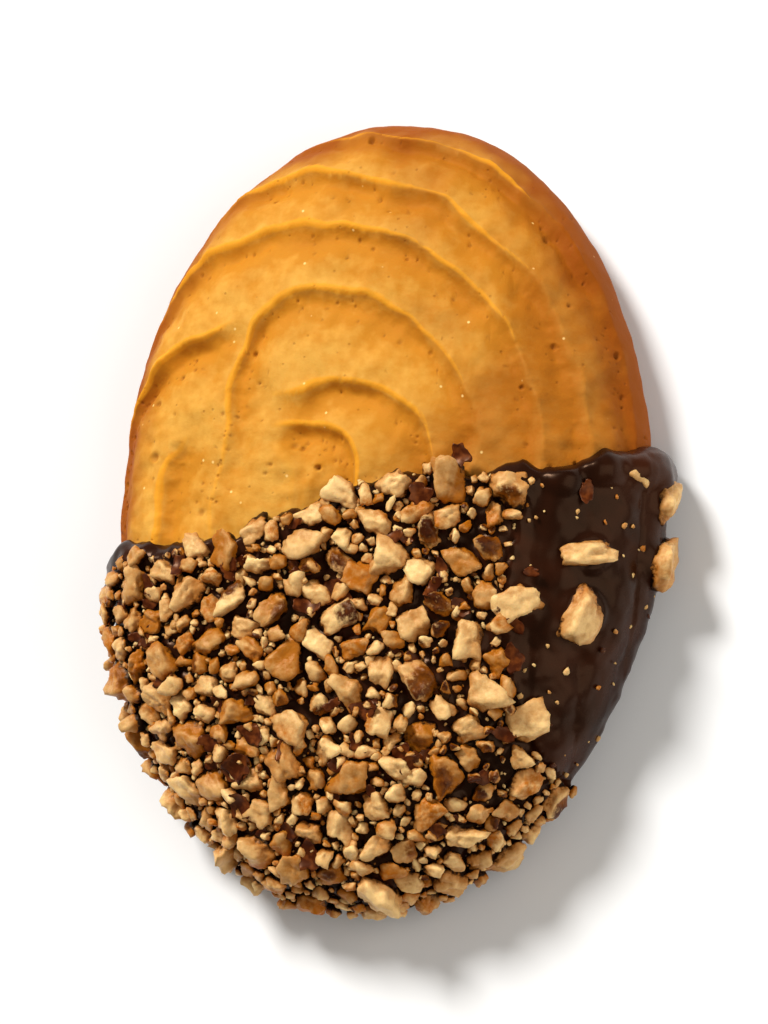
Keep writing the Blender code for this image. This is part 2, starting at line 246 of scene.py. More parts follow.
class DoughSettings(bpy.types.PropertyGroup):
    length: length("Length", "Length of the biscuit without chocolate", 88 * MM)
    width: length("Width", "Width of the biscuit without chocolate", 62 * MM)
    height: length("Height", "Height of the smooth body above its base", 15 * MM)
    waist: length("Waist", "Height of the widest line above the base", 3 * MM)
    ridge_depth: length("Ridge depth", "Depth of the piped grooves", 2.0 * MM)
    pores: whole("Pores", "How many pores have a real depth", 300)
    golden: colour("Golden", "The baked top", "#C98220")
    pale: colour("Pale", "The tops of the broad ridges", "#DDA142")
    # The colour of the painted highlight along the crests
    crest: colour("Crest", "The sharp edges of the ridges", "#E6981E")
    # The colour of the painted shade in the grooves and on the steep flanks
    groove_shade: colour("Toasted", "The grooves and steep flanks", "#C87A12")
    # The browned rim and base, and also the colour of the painted shade towards the right side
    browned_and_shaded: colour("Browned", "The rim and the base", "#984C05")
    # The colour of the painted shade in the pores and pinholes
    pore_shade: colour("Speck", "The insides of pores", "#7A3F10")
    # The colour of the painted glints of the grains of sugar
    sugar: colour("Sugar", "The grains of sugar that show", "#F6D080")


class ChocolateSettings(bpy.types.PropertyGroup):
    thickness: length("Thickness", "Thickness of the chocolate on the biscuit", 1.5 * MM)
    underside: length("Underside", "Thickness of the chocolate below the biscuit", 1.1 * MM)
    lip: length("Lip", "Width over which the chocolate's edge rounds off", 1.3 * MM)
    ripple: length("Ripple", "Height of the soft unevenness of the chocolate", 0.2 * MM)
    dark: colour("Dark", "The chocolate", "#1A0803")
    warm: colour("Warm", "Where the chocolate is thinner", "#36170A")


class NutSettings(bpy.types.PropertyGroup):
    seed: whole("Seed", "Seed of every random draw for the nuts", 41)
    pieces: whole("Pieces", "How many chopped pieces", 690)
    largest: length("Largest", "Size of the largest scattered piece", 5.2 * MM)
    skins: whole("Skins", "How many loose flakes of skin", 60)
    crumbs: whole("Crumbs", "How many crumbs", 760)
    cream: colour("Cream", "Freshly cut kernel", "#F2C885")
    # Also laid more on the lower part of each piece, as painted shade
    tan: colour("Tan", "Lightly roasted kernel", "#A6641A")
    # The roasted outside, and also the colour of the painted shade on the lower part of each piece
    roast_and_shade: colour("Roast", "The roasted outside of a kernel", "#B0620E")
    skin: colour("Skin", "The papery skin", "#401503")
    vein: colour("Vein", "The paler veins of the skin", "#763A14")


class StageSettings(bpy.types.PropertyGroup):
    floor: colour("Floor", "The pale floor", "#F6F5F3")
    air: colour("Air", "The room's own soft light", "#FFFAF2")
    key: real("Key", "Strength of the soft sun", 3.8)
    side: real("Side", "Power of the large weak light on the right", 0.6, unit="POWER")
    fill: real("Fill", "Brightness of the white room", 0.27)
    tilt: real("Tilt", "Angle of the camera from straight above", math.radians(18), unit="ROTATION")
    roll: real("Roll", "How far the long axis leans in the view", math.radians(3.9), unit="ROTATION")
    distance: length("Distance", "From the camera to the biscuit", 0.5)
    lens: real("Lens", "Focal length of the camera", 156, unit="CAMERA")


def outline(angle, dough):
    """Distance from the middle to the widest line, in plan."""
    half_width = dough.width / 2
    half_length = dough.length / 2
    ellipse = half_width * half_length / np.hypot(half_length * np.cos(angle), half_width * np.sin(angle))
    uneven = sum(share * np.sin(waves * angle + start) for share, waves, start in OUTLINE_WAVES)
    return ellipse * (1 + FULLER * np.cos(angle - FULLER_TOWARDS) + uneven)


class Form:
    """The biscuit's form, from its settings. A place on it is an angle in plan and a share, which runs
    from 0 at the middle of the top over the rim to 1 at the middle of the base."""

    def __init__(self, dough, chocolate):
        self.dough = dough
        self.chocolate = chocolate
        turn = np.linspace(0, math.pi, 601)
        sine = np.clip(np.sin(turn), 0, 1)
        above = turn < math.pi / 2
        self.reach = np.where(above, sine ** (2 / DOME_POWER), sine ** (2 / FOOT_POWER))
        rise = np.where(above, dough.height - dough.waist, dough.waist)
        self.level = dough.waist + rise * np.cos(turn)
        mean_radius = (dough.width + dough.length) / 4
        steps = np.hypot(mean_radius * np.diff(self.reach), np.diff(self.level))
        walked = np.concatenate([[0], np.cumsum(steps)])
        self.share = walked / walked[-1]
        self.waist_at = len(self.share) // 2
        self.waist_share = self.share[self.waist_at]
        below = slice(self.waist_at, None)
        self.foot_share = np.interp(BASE_LEVEL, self.level[below][::-1], self.share[below][::-1])

    def from_plan(self, x, y):
        """Angle and share of the points of the upper side that lie at x, y in plan."""
        angle = np.arctan2(y, x)
        reach = np.hypot(x, y) / outline(angle, self.dough)
        upper = slice(None, self.waist_at + 1)
        return angle, np.interp(reach, self.reach[upper], self.share[upper])

    def smooth_body(self, angle, share):
        """Points of the biscuit without its ridges, and the directions that point out of it."""
        radius = outline(angle, self.dough)
        reach = np.interp(share, self.share, self.reach)
        level = np.interp(share, self.share, self.level)
        points = np.stack([radius * reach * np.cos(angle), radius * reach * np.sin(angle), level], axis=-1)
        out = -np.interp(share, self.share, np.gradient(self.level, self.share))
        up = radius * np.interp(share, self.share, np.gradient(self.reach, self.share))
        plan_x = np.cos(angle) / self.dough.width**2
        plan_y = np.sin(angle) / self.dough.length**2
        plan = np.hypot(plan_x, plan_y)
        normals = np.stack([out * plan_x / plan, out * plan_y / plan, up], axis=-1)
        return points, normals / np.linalg.norm(normals, axis=-1, keepdims=True)

    def ridges(self, points, crisp=False):
        """Height of the piped relief, from about 0 in a groove to 1 on a crest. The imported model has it
        plain. Crisp, the outer side of each groove is one even slope up to a sharp crest."""
        x, y, z = np.moveaxis(points, -1, 0)
        wall = WALL_UNROLLED * np.maximum(0, self.dough.height - FLAT_TO - z)
        outwards = 1 + wall / np.maximum(np.hypot(x, y), self.dough.waist)
        along = x * outwards - EYE[0]
        beyond = y * outwards - EYE[1]
        up = (beyond + np.hypot(beyond, BEND_LENGTH)) / 2
        distance = np.hypot(along, up)
        angle = np.degrees(np.arctan2(np.hypot(up, EYE_SOFTNESS), along))
        height = np.ones_like(x)
        for name, (course, depth) in GROOVES.items():
            away = distance - spread(course, angle, COURSE_WINDOW) * MM
            if crisp:
                away = away + spread(INWARDS[name], angle, COURSE_WINDOW) * MM
            flank = np.where(away > 0, STEEP_FLANK, GENTLE_FLANK)
            sunk = np.exp(-np.hypot(away, GROOVE_ROUNDING) / flank)
            if crisp:
                left = 1 - (np.maximum(away, 0) / SLOPE_WIDTH) ** SLOPE_CURVE
                deepest = math.exp(-GROOVE_ROUNDING / GENTLE_FLANK)
                slope = deepest * (left + np.hypot(left, CREST_ROUNDING)) / 2
                lip = CREST_LIP * np.exp(-(((away - SLOPE_WIDTH) / LIP_WIDTH) ** 2))
                sunk = CRISP_DEPTH * np.where(away > 0, slope, sunk) - lip
                sunk = sunk * spread(FAINTER.get(name, ((0, 1),)), angle, COURSE_WINDOW)
            height = height - spread(depth, angle, DEPTH_WINDOW) * sunk
        return height

    def relief(self, points):
        """How far the ridges stand out of the smooth body."""
        fade = np.clip(points[..., 2] / RIDGE_FADE, 0, 1) ** 2
        return self.dough.ridge_depth * (self.ridges(points) - RIDGE_ZERO) * fade

    def coat_surface(self, angle, share):
        points, normals = self.smooth_body(angle, share)
        raised = COAT_FILL * self.relief(points) + self.chocolate.thickness
        return points + normals * raised[..., None]

    def in_the_frame(self, points):
        """Points of the biscuit's own frame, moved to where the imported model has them."""
        return points + (-MIDDLE_X, -MIDDLE_Y, self.chocolate.underside)


def spread(pairs, angle, window):
    """A value given at some angles, read between them and smoothed."""
    at, value = zip(*pairs)
    offsets = np.linspace(-window, window, 5)
    return sum(np.interp(angle + offset, at, value) for offset in offsets) / len(offsets)


def dip_line(x):
    """How far up the biscuit the chocolate reaches."""
    waves = sum(height * np.sin(turn * x + start) for height, turn, start in DIP_WAVES)
    return DIP_MIDDLE + DIP_SLOPE * x + DIP_BEND * x**2 + waves


def on_bare_patch(x, y):
    return ((x - BARE_CENTRE[0]) / BARE_HALF[0]) ** 2 + ((y - BARE_CENTRE[1]) / BARE_HALF[1]) ** 2 < 1


def in_a_dark_gap(x, y):
    """Whether a place lies where the chocolate shows between the nuts."""
    inside = False
    for middle_x, middle_y, half_x, half_y in np.array(DARK_GAPS) * MM:
        inside = inside | (((x - middle_x) / half_x) ** 2 + ((y - middle_y) / half_y) ** 2 < GAP_REACH**2)
    return inside


def clouds(points, size, seed, octaves=3):
    """Soft random values, mostly from -0.5 to 0.5, whose bumps are about as wide as size."""
    shift = Vector((17.3, 5.1, 9.7)) * seed
    return np.array([noise.fractal(Vector(point) / size + shift, 1.0, 2.0, octaves) for point in points])


def settings_of(context):
    scene = context.scene
    return scene.biscuit_dough, scene.biscuit_chocolate, scene.biscuit_nuts, scene.biscuit_stage


def add_object(name, mesh):
    obj = bpy.data.objects.new(name, mesh)
    bpy.context.scene.collection.objects.link(obj)
    return obj


def add_piece(name, mesh, made_of, node):
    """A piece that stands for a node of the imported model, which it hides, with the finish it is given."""
    if not mesh.polygons:
        raise RuntimeError(f"{name} has no faces")
    mesh.shade_smooth()
    mesh.materials.append(made_of)
    piece = add_object(name, mesh)
    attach(piece, "root")
    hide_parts(node)


def closed_mesh(bm, name, places):
    """The mesh of a closed form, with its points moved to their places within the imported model's box, and
    its faces turned outwards."""
    for vertex, place in zip(bm.verts, np.clip(places, *np.array(CAD_BOX))):
        vertex.co = place
    bmesh.ops.recalc_face_normals(bm, faces=bm.faces)
    if bm.calc_volume(signed=True) < 0:
        bmesh.ops.reverse_faces(bm, faces=bm.faces)
    mesh = bpy.data.meshes.new(name)
    bm.to_mesh(mesh)
    bm.free()
    return mesh


def write_attribute(mesh, name, values):
    layer = mesh.attributes.new(name, "FLOAT", "POINT")
    layer.data.foreach_set("value", np.asarray(values, np.float32))


def add_node(tree, kind, inputs=None, output=0, **settings):
    """Adds a node and gives back one of its outputs. An input is a value, or the output linked to it."""
    made = tree.nodes.new("ShaderNode" + kind)
    for name, value in settings.items():
        setattr(made, name, value)
    for name, value in (inputs or {}).items():
        if isinstance(value, bpy.types.NodeSocket):
            tree.links.new(value, made.inputs[name])
        else:
            made.inputs[name].default_value = value
    return made.outputs[output]


def new_material(name, finish, attributes=()):
    """A material whose surface shader has a finish. Gives back the material, its node tree and shader, the
    object's own coordinates, and what each of the mesh's attributes says."""
    made = bpy.data.materials.new(name)
    made.use_nodes = True
    tree = made.node_tree
    shader = tree.nodes["Principled BSDF"]
    for socket, value in finish.items():
        shader.inputs[socket].default_value = value
    place = add_node(tree, "TexCoord", output="Object")
    said = [add_node(tree, "Attribute", output="Fac", attribute_name=attribute) for attribute in attributes]
    return made, tree, shader, place, *said


def opaque(rgb):
    return (*rgb, 1)


# How the sockets of a colour mix are numbered in Blender.
MIX_SHARE, MIX_FIRST, MIX_SECOND, MIX_RESULT = 0, 6, 7, 2


def lay_colours(tree, shader, base, layers):
    """Colours a surface with a base and with the colours laid over it in turn, each by its share."""
    result = opaque(base)
    for share, over in layers:
        mixed = {MIX_SHARE: share, MIX_FIRST: result, MIX_SECOND: opaque(over)}
        result = add_node(tree, "Mix", mixed, MIX_RESULT, data_type="RGBA")
    tree.links.new(result, shader.inputs["Base Color"])


def baked_butter_dough(dough):
    """Piped butter dough, baked: matt and finely grained, paler on the ridges, with painted shade in the
    grooves, on the steep flanks, in the pores and towards the right side, and painted highlights along the
    crests and as glints of sugar.
    """
    finish = {
        "Roughness": 0.7,
        "Specular IOR Level": 0.1,
        "Subsurface Weight": 0.12,
        "Subsurface Radius": (1.0, 0.55, 0.25),
        "Subsurface Scale": 1.2 * MM,
    }
    made, tree, shader, place, ridge, rim, pore, crest, slope, baked = new_material(
        "baked_butter_dough", finish, ("ridge", "rim", "pore", "crest", "slope", "baked")
    )
    # Pale or golden, by the ridge's height and by soft patches: the patches are the dough's own tone, and the
    # grooves left golden are painted shade.
    patches = {"Vector": place, "Scale": 1 / (7 * MM), "Detail": 4, "Roughness": 0.6}
    mottle = add_node(tree, "TexNoise", patches)
    flour = add_node(tree, "TexNoise", {"Vector": place, "Scale": 1 / (1.4 * MM), "Detail": 3})
    pale = add_node(tree, "Math", {0: ridge, 1: mottle}, operation="ADD")
    pale = add_node(tree, "Math", {0: flour, 1: 0.9, 2: pale}, operation="MULTIPLY_ADD")
    pale = add_node(tree, "MapRange", {"Value": pale, "From Min": 1.5, "From Max": 2.05})
    # Painted shade in the grooves and on the steep flanks, and more painted shade towards the right side. A
    # painted highlight lies along the crests, weaker where the right side is shaded.
    hollow = add_node(tree, "MapRange", {"Value": crest, "From Min": -0.05, "From Max": -0.7, "To Max": 0.5})
    groove_shade = add_node(tree, "Math", {0: slope, 1: 0.55, 2: hollow}, operation="MULTIPLY_ADD", use_clamp=True)
    browned_and_shaded = add_node(tree, "Math", {0: baked, 1: 0.6}, operation="MULTIPLY")
    # The painted highlight along the crests.
    lit = add_node(tree, "Math", {0: crest, 1: browned_and_shaded}, operation="SUBTRACT")
    lit = add_node(tree, "MapRange", {"Value": lit, "From Min": 0.1, "From Max": 0.4, "To Max": 0.8})
    # Cells of 1.3 mm: some have a pinhole about 0.25 mm wide, darkened with painted shade as the pores are,
    # and a few others a pale speck painted as the glint of a grain of sugar.
    near = add_node(tree, "TexVoronoi", {"Vector": place, "Scale": 1 / (1.3 * MM), "Randomness": 1})
    chosen = add_node(tree, "SeparateColor", {"Color": near.node.outputs["Color"]})
    near = add_node(tree, "MapRange", {"Value": near, "From Min": 0.16, "From Max": 0.06})
    pinhole = add_node(tree, "Math", {0: chosen, 1: 0.72}, operation="GREATER_THAN")
    pinhole = add_node(tree, "Math", {0: near, 1: pinhole}, operation="MULTIPLY")
    dark = add_node(tree, "Math", {0: pinhole, 1: 0.3, 2: pore}, operation="MULTIPLY_ADD", use_clamp=True)
    # A pale speck painted as the glint of a grain of sugar
    sugar_glints = add_node(tree, "Math", {0: chosen, 1: 0.06}, operation="LESS_THAN")
    sugar_glints = add_node(tree, "Math", {0: near, 1: sugar_glints}, operation="MULTIPLY")
    layers = (
        (pale, dough.pale),
        (groove_shade, dough.groove_shade),
        (browned_and_shaded, dough.browned_and_shaded),
        (rim, dough.browned_and_shaded),
        (lit, dough.crest),
        (dark, dough.pore_shade),
        (sugar_glints, dough.sugar),
    )
    lay_colours(tree, shader, dough.golden, layers)
    # The grain of flour and sugar, 0.35 mm, drawn a little coarser than it is so that it shows.
    grain = {"Vector": place, "Scale": 1 / (0.45 * MM), "Detail": 3, "Roughness": 0.65}
    height = add_node(tree, "TexNoise", grain)
    height = add_node(tree, "Math", {0: pinhole, 1: -1.5, 2: height}, operation="MULTIPLY_ADD")
    bump = add_node(tree, "Bump", {"Height": height, "Strength": 0.45, "Distance": 0.12 * MM})
    tree.links.new(bump, shader.inputs["Normal"])
    return made


WARM_GLOSS = (1.0, 0.58, 0.34, 1)


def tempered_chocolate(chocolate):
    """Dark chocolate that set in the air: nearly black brown, with a soft broad gloss."""
    finish = {"Specular IOR Level": 0.21, "Specular Tint": WARM_GLOSS}
    made, tree, shader, place = new_material("tempered_dark_chocolate", finish)
    patches = add_node(tree, "TexNoise", {"Vector": place, "Scale": 1 / (9 * MM), "Detail": 3})
    patches = add_node(tree, "MapRange", {"Value": patches, "From Min": 0.38, "From Max": 0.68})
    lay_colours(tree, shader, chocolate.dark, [(patches, chocolate.warm)])
    bloom = add_node(tree, "TexNoise", {"Vector": place, "Scale": 1 / (2.5 * MM), "Detail": 4})
    roughness = add_node(tree, "MapRange", {"Value": bloom, "To Min": 0.16, "To Max": 0.38})
    tree.links.new(roughness, shader.inputs["Roughness"])
    bump = add_node(tree, "Bump", {"Height": bloom, "Strength": 0.25, "Distance": 0.08 * MM})
    tree.links.new(bump, shader.inputs["Normal"])
    return made


def chopped_hazelnut(nuts, chocolate, name, grain_size):
    """Roasted hazelnut, chopped: cream where it broke, tan to brown on its rounded outside, a little oily."""
    finish = {
        "Roughness": 0.36,
        "Specular IOR Level": 0.28,
        "Specular Tint": (1.0, 0.7, 0.44, 1),
        "Subsurface Weight": 0.16,
        "Subsurface Radius": (1.0, 0.6, 0.3),
        "Subsurface Scale": 0.8 * MM,
    }
    made, tree, shader, place, tint, outside, skinned, lower_shade = new_material(
        name, finish, ("tint", "outside", "skinned", "lower_shade")
    )
    grain = {"Vector": place, "Scale": 1 / grain_size, "Detail": 4, "Roughness": 0.65}
    fibres = add_node(tree, "TexNoise", grain)
    # Tan by the piece's own tone and grain, and more towards its foot as painted shade
    shade = add_node(tree, "Math", {0: fibres, 1: 0.9, 2: tint}, operation="MULTIPLY_ADD")
    shade = add_node(tree, "Math", {0: shade, 1: lower_shade}, operation="ADD")
    shade = add_node(tree, "MapRange", {"Value": shade, "From Min": 0.45, "From Max": 1.7})
    worn = add_node(tree, "Math", {0: outside, 1: fibres}, operation="MULTIPLY")
    worn = add_node(tree, "MapRange", {"Value": worn, "From Min": 0.15, "From Max": 0.6})
    papery = add_node(tree, "Math", {0: skinned, 1: fibres}, operation="MULTIPLY")
    papery = add_node(tree, "MapRange", {"Value": papery, "From Min": 0.2, "From Max": 0.42})
    # The lower part of a piece is darkened with painted shade, and its foot takes the chocolate's colour with
    # a ragged edge: partly chocolate that clings there, partly painted shade.
    ragged = add_node(tree, "Math", {0: lower_shade, 1: fibres}, operation="ADD")
    lower_shaded = add_node(tree, "MapRange", {"Value": ragged, "From Min": 0.55, "From Max": 1.35, "To Max": 0.8})
    dipped = add_node(tree, "MapRange", {"Value": ragged, "From Min": 1.1, "From Max": 1.3})
    layers = (
        (shade, nuts.tan),
        (worn, nuts.roast_and_shade),
        (papery, nuts.skin),
        (lower_shaded, nuts.roast_and_shade),
        (dipped, chocolate.dark),
    )
    lay_colours(tree, shader, nuts.cream, layers)
    crumbly = {"Vector": place, "Scale": 1 / (0.35 * MM), "Detail": 3, "Roughness": 0.7}
    height = add_node(tree, "TexNoise", crumbly)
    bump = add_node(tree, "Bump", {"Height": height, "Strength": 0.4, "Distance": 0.2 * MM})
    tree.links.new(bump, shader.inputs["Normal"])
    return made


def hazelnut_skin(nuts):
    """The dry papery skin of a hazelnut: dark red brown with paler veins and a faint sheen."""
    finish = {"Roughness": 0.35, "Specular IOR Level": 0.3, "Specular Tint": WARM_GLOSS}
    made, tree, shader, place = new_material("papery_hazelnut_skin", finish)
    veins = add_node(tree, "TexNoise", {"Vector": place, "Scale": 1 / (0.9 * MM), "Detail": 4})
    veins = add_node(tree, "MapRange", {"Value": veins, "From Min": 0.45, "From Max": 0.75})
    lay_colours(tree, shader, nuts.skin, [(veins, nuts.vein)])
    return made


def pale_floor(stage):
    """Painted board, matt and almost white."""
    finish = {"Base Color": opaque(stage.floor), "Roughness": 0.8}
    made, tree, shader, place = new_material("matt_painted_board", finish)
    fleck = add_node(tree, "TexNoise", {"Vector": place, "Scale": 1 / (2 * MM), "Detail": 2})
    bump = add_node(tree, "Bump", {"Height": fleck, "Strength": 0.05, "Distance": 0.1 * MM})
    tree.links.new(bump, shader.inputs["Normal"])
    return made


GRID_CELLS = 200
BASE_STEPS = 8
CRISP_FADE = 8.5 * MM  # the relief fades out below this height
EDGE_FADE = 3 * MM  # and within this distance of the outline,
EDGE_LEFT = 0.4  # down to this share
WANDER = 0.9 * MM  # how far the ridges stray from their courses
WANDER_WIDTH = 7 * MM
RIDGE_UNEVEN = 0.35  # how much the ridges' depth varies
RIDGE_UNEVEN_WIDTH = 14 * MM
LUMPS = ((0.5, 8, 4), (0.32, 3.5, 5), (0.09, 1.3, 6))  # height and width in mm, and seed
LUMPS_LEFT = 0.3  # share of the lumps' height where the relief has faded out
CREASE_REACH = 0.7 * MM
CREASE_REFINED = 0.035
CREASE_HIDDEN = 2 * MM  # no crease is refined further under the chocolate
CREST_REACH = 0.9 * MM
CREST_STRENGTH = 4.0
STEEPEST = 600  # change of the ridges' height per metre that counts as steepest
STEEP_FROM = 0.4  # share of that from which a slope gets painted shade
COVERED_FROM = 1 * MM  # under the chocolate the dough is flatter and lower, from here in
COVERED_BLEND = 3 * MM
COVERED_FLATTER = 0.7
COVERED_DROP = 0.5 * MM
RIM_WIDTH = 5.4 * MM
RIM_BLEND = 4 * MM
RIM_WAVE = 2 * MM
RIM_WAVE_WIDTH = 6 * MM
RIGHT_SHADE_FROM = -2 * MM  # painted shade darkens the right side, from here on
RIGHT_SHADE_BLEND = 22 * MM
RIGHT_SHADE_CLOUDS = 15 * MM
PORE_SEED = 7
PORE_TRIES = 60  # places tried for each pore
PORE_CHANCE = 0.04  # how likely a place on a crest gets a pore
PORE_CHANCE_SUNK = 4  # how fast that grows with the depth
PORE_LEVEL = 0.75  # below this height of the ridges it grows,
PORE_SUNK = 0.5  # until this far below
PORE_HIDDEN = 1 * MM  # no pores lie further under the chocolate
PORE_RADIUS = (0.12, 2.0, 0.06)  # smallest in mm, and shape and scale of what is added
PORE_DEPTH = (0.5, 0.9)  # share of the radius
PORE_REFINED = 1.5  # the grid is refined within this many radii of a pore
# how dark the painted shade in a pore is
PORE_DARKNESS = 0.65
# A fold with a chain of pores along it: its course as x, y in mm, then the pores' number, their stray and
# radius in mm, and their depth as a share of the radius.
FOLD = ((-10.5, 14.0), (-14.2, 7.4), (-16.0, 2.4), (-16.8, -2.8))
FOLD_PORES = 24
FOLD_STRAY = 0.45
FOLD_RADIUS = (0.12, 0.3)
FOLD_DEPTH = 0.7
# Single pits: x, y, radius and depth in mm.
PIT_PORES = ((-21.9, 3.5, 1.3, 0.5), (-24.9, 2.9, 0.7, 0.4), (-4.6, 1.7, 0.45, 0.7))


def bending(form, points, distance):
    """How far the ridges stand out from what lies around them: above 0 on a crest, below 0 in a groove."""
    around = [(math.cos(turn), math.sin(turn), 0) for turn in np.linspace(0, 2 * math.pi, 9)[:-1]]
    nearby = sum(form.ridges(points + distance * np.array(step), crisp=True) for step in around) / len(around)
    return form.ridges(points, crisp=True) - nearby


def steepness(form, points):
    """How fast the ridges' height changes along the surface, per metre."""
    step = 0.3 * MM
    across, along = (
        form.ridges(points + way, crisp=True) - form.ridges(points - way, crisp=True)
        for way in step * np.eye(3)[:2]
    )
    return np.hypot(across, along) / (2 * step)


def disc_grid(cells):
    """A square grid drawn out to a disc of radius 1, so that its cells stay much alike."""
    bm = bmesh.new()
    bmesh.ops.create_grid(bm, x_segments=cells, y_segments=cells, size=1)
    for vertex in bm.verts:
        across, along = vertex.co.x, vertex.co.y
        if abs(across) > abs(along):
            radius, turn = across, math.pi / 4 * along / across
            vertex.co = (radius * math.cos(turn), radius * math.sin(turn), 0)
        elif along:
            radius, turn = along, math.pi / 4 * across / along
            vertex.co = (radius * math.sin(turn), radius * math.cos(turn), 0)
    return bm


def refine(bm, form, wanted):
    """Splits each face of the disc into four where the point of the biscuit at its middle is wanted."""
    middles = np.array([face.calc_center_median()[:2] for face in bm.faces])
    points, _ = form.smooth_body(*place_on_disc(form, middles))
    edges = {edge for face, is_wanted in zip(bm.faces, wanted(points)) if is_wanted for edge in face.edges}
    bmesh.ops.subdivide_edges(bm, edges=list(edges), cuts=1, use_grid_fill=True)


def place_on_disc(form, disc):
    """Angle and share of the points of the disc."""
    angle = np.arctan2(disc[:, 1], disc[:, 0])
    return angle, np.hypot(disc[:, 0], disc[:, 1]) * form.foot_share


def scatter_pores(form):
    """Middle, radius and depth of each pore: most lie in the grooves, where the dough tears."""
    random = np.random.default_rng(PORE_SEED)
    count = PORE_TRIES * form.dough.pores
    turn = random.uniform(0, 2 * math.pi, count)
    share = form.waist_share * np.sqrt(random.uniform(0, 1, count))
    points, _ = form.smooth_body(turn, share)
    shows = points[:, 1] > dip_line(points[:, 0]) - PORE_HIDDEN
    sunk = np.clip(PORE_LEVEL - form.ridges(points, crisp=True), 0, PORE_SUNK)
    chance = PORE_CHANCE + PORE_CHANCE_SUNK * sunk**2
    chosen = np.flatnonzero(shows & (random.uniform(0, 1, count) < chance))[: form.dough.pores]
    smallest, shape, scale = PORE_RADIUS
    radius = (random.gamma(shape, scale, len(chosen)) + smallest) * MM
    depth = radius * random.uniform(*PORE_DEPTH, len(chosen))
    along = random.uniform(0, len(FOLD) - 1, FOLD_PORES)
    chain_x, chain_y = (np.interp(along, np.arange(len(FOLD)), course) for course in np.array(FOLD).T)
    chain_x = chain_x + random.normal(0, FOLD_STRAY, FOLD_PORES)
    chain_radius = random.uniform(*FOLD_RADIUS, FOLD_PORES)
    chain = np.stack([chain_x, chain_y, chain_radius, FOLD_DEPTH * chain_radius], axis=1)
    x, y, pit_radius, pit_depth = np.concatenate([chain, PIT_PORES]).T * MM
    pits, _ = form.smooth_body(*form.from_plan(x, y))
    return (
        np.concatenate([points[chosen], pits]),
        np.concatenate([radius, pit_radius]),
        np.concatenate([depth, pit_depth]),
    )


def pore_depth(points, pores):
    """How deep the pores are at each point, and how much of a pore it lies in."""
    deep = np.zeros(len(points))
    within = np.zeros(len(points))
    for middle, radius, depth in zip(*pores):
        near = np.flatnonzero(np.abs(points[:, 0] - middle[0]) < radius)
        away = np.linalg.norm(points[near] - middle, axis=1) / radius
        hollow = np.clip(1 - away**2, 0, 1) ** 1.5
        deep[near] = np.maximum(deep[near], depth * hollow)
        within[near] = np.maximum(within[near], hollow * min(1, depth / radius))
    return deep, within


def close_base(bm, form, places):
    """Draws the edge of the disc inwards under the biscuit, ring by ring, to the middle of the base. Gives
    back the share of each ring, and the angle of each of its points."""
    edge = [e for e in bm.edges if e.is_boundary]
    found = []
    for share in np.linspace(form.foot_share, 1, BASE_STEPS + 1)[1:-1]:
        drawn = bmesh.ops.extrude_edge_only(bm, edges=edge)["geom"]
        edge = [item for item in drawn if isinstance(item, bmesh.types.BMEdge) and item.is_boundary]
        new_places = {}
        for vertex in {v for e in edge for v in e.verts}:
            below = next(e.other_vert(vertex) for e in vertex.link_edges if e.other_vert(vertex) in places)
            new_places[vertex] = places[below]
        found.append((share, new_places))
        places = new_places
    bmesh.ops.holes_fill(bm, edges=edge, sides=0)
    return found


def dough_grid(form, pores):
    """The dough's grid, finer at the creases and pores, with the angle and share of each point."""
    middles, radii, depths = pores

    def near_a_crease(points):
        shows = points[:, 1] > dip_line(points[:, 0]) - CREASE_HIDDEN
        return shows & (np.abs(bending(form, points, CREASE_REACH)) > CREASE_REFINED)

    def near_a_pore(points):
        return pore_depth(points, (middles, PORE_REFINED * radii, depths))[1] > 0

    bm = disc_grid(GRID_CELLS)
    refine(bm, form, near_a_crease)
    refine(bm, form, near_a_pore)
    angle, share = place_on_disc(form, np.array([vertex.co[:2] for vertex in bm.verts]))
    rings = close_base(bm, form, {v: angle[i] for i, v in enumerate(bm.verts) if v.is_boundary})
    added = len(bm.verts) - len(angle)
    angle = np.concatenate([angle, np.zeros(added)])
    share = np.concatenate([share, np.ones(added)])
    bm.verts.index_update()
    for ring_share, places in rings:
        for vertex, ring_angle in places.items():
            angle[vertex.index] = ring_angle
            share[vertex.index] = ring_share
    return bm, angle, share


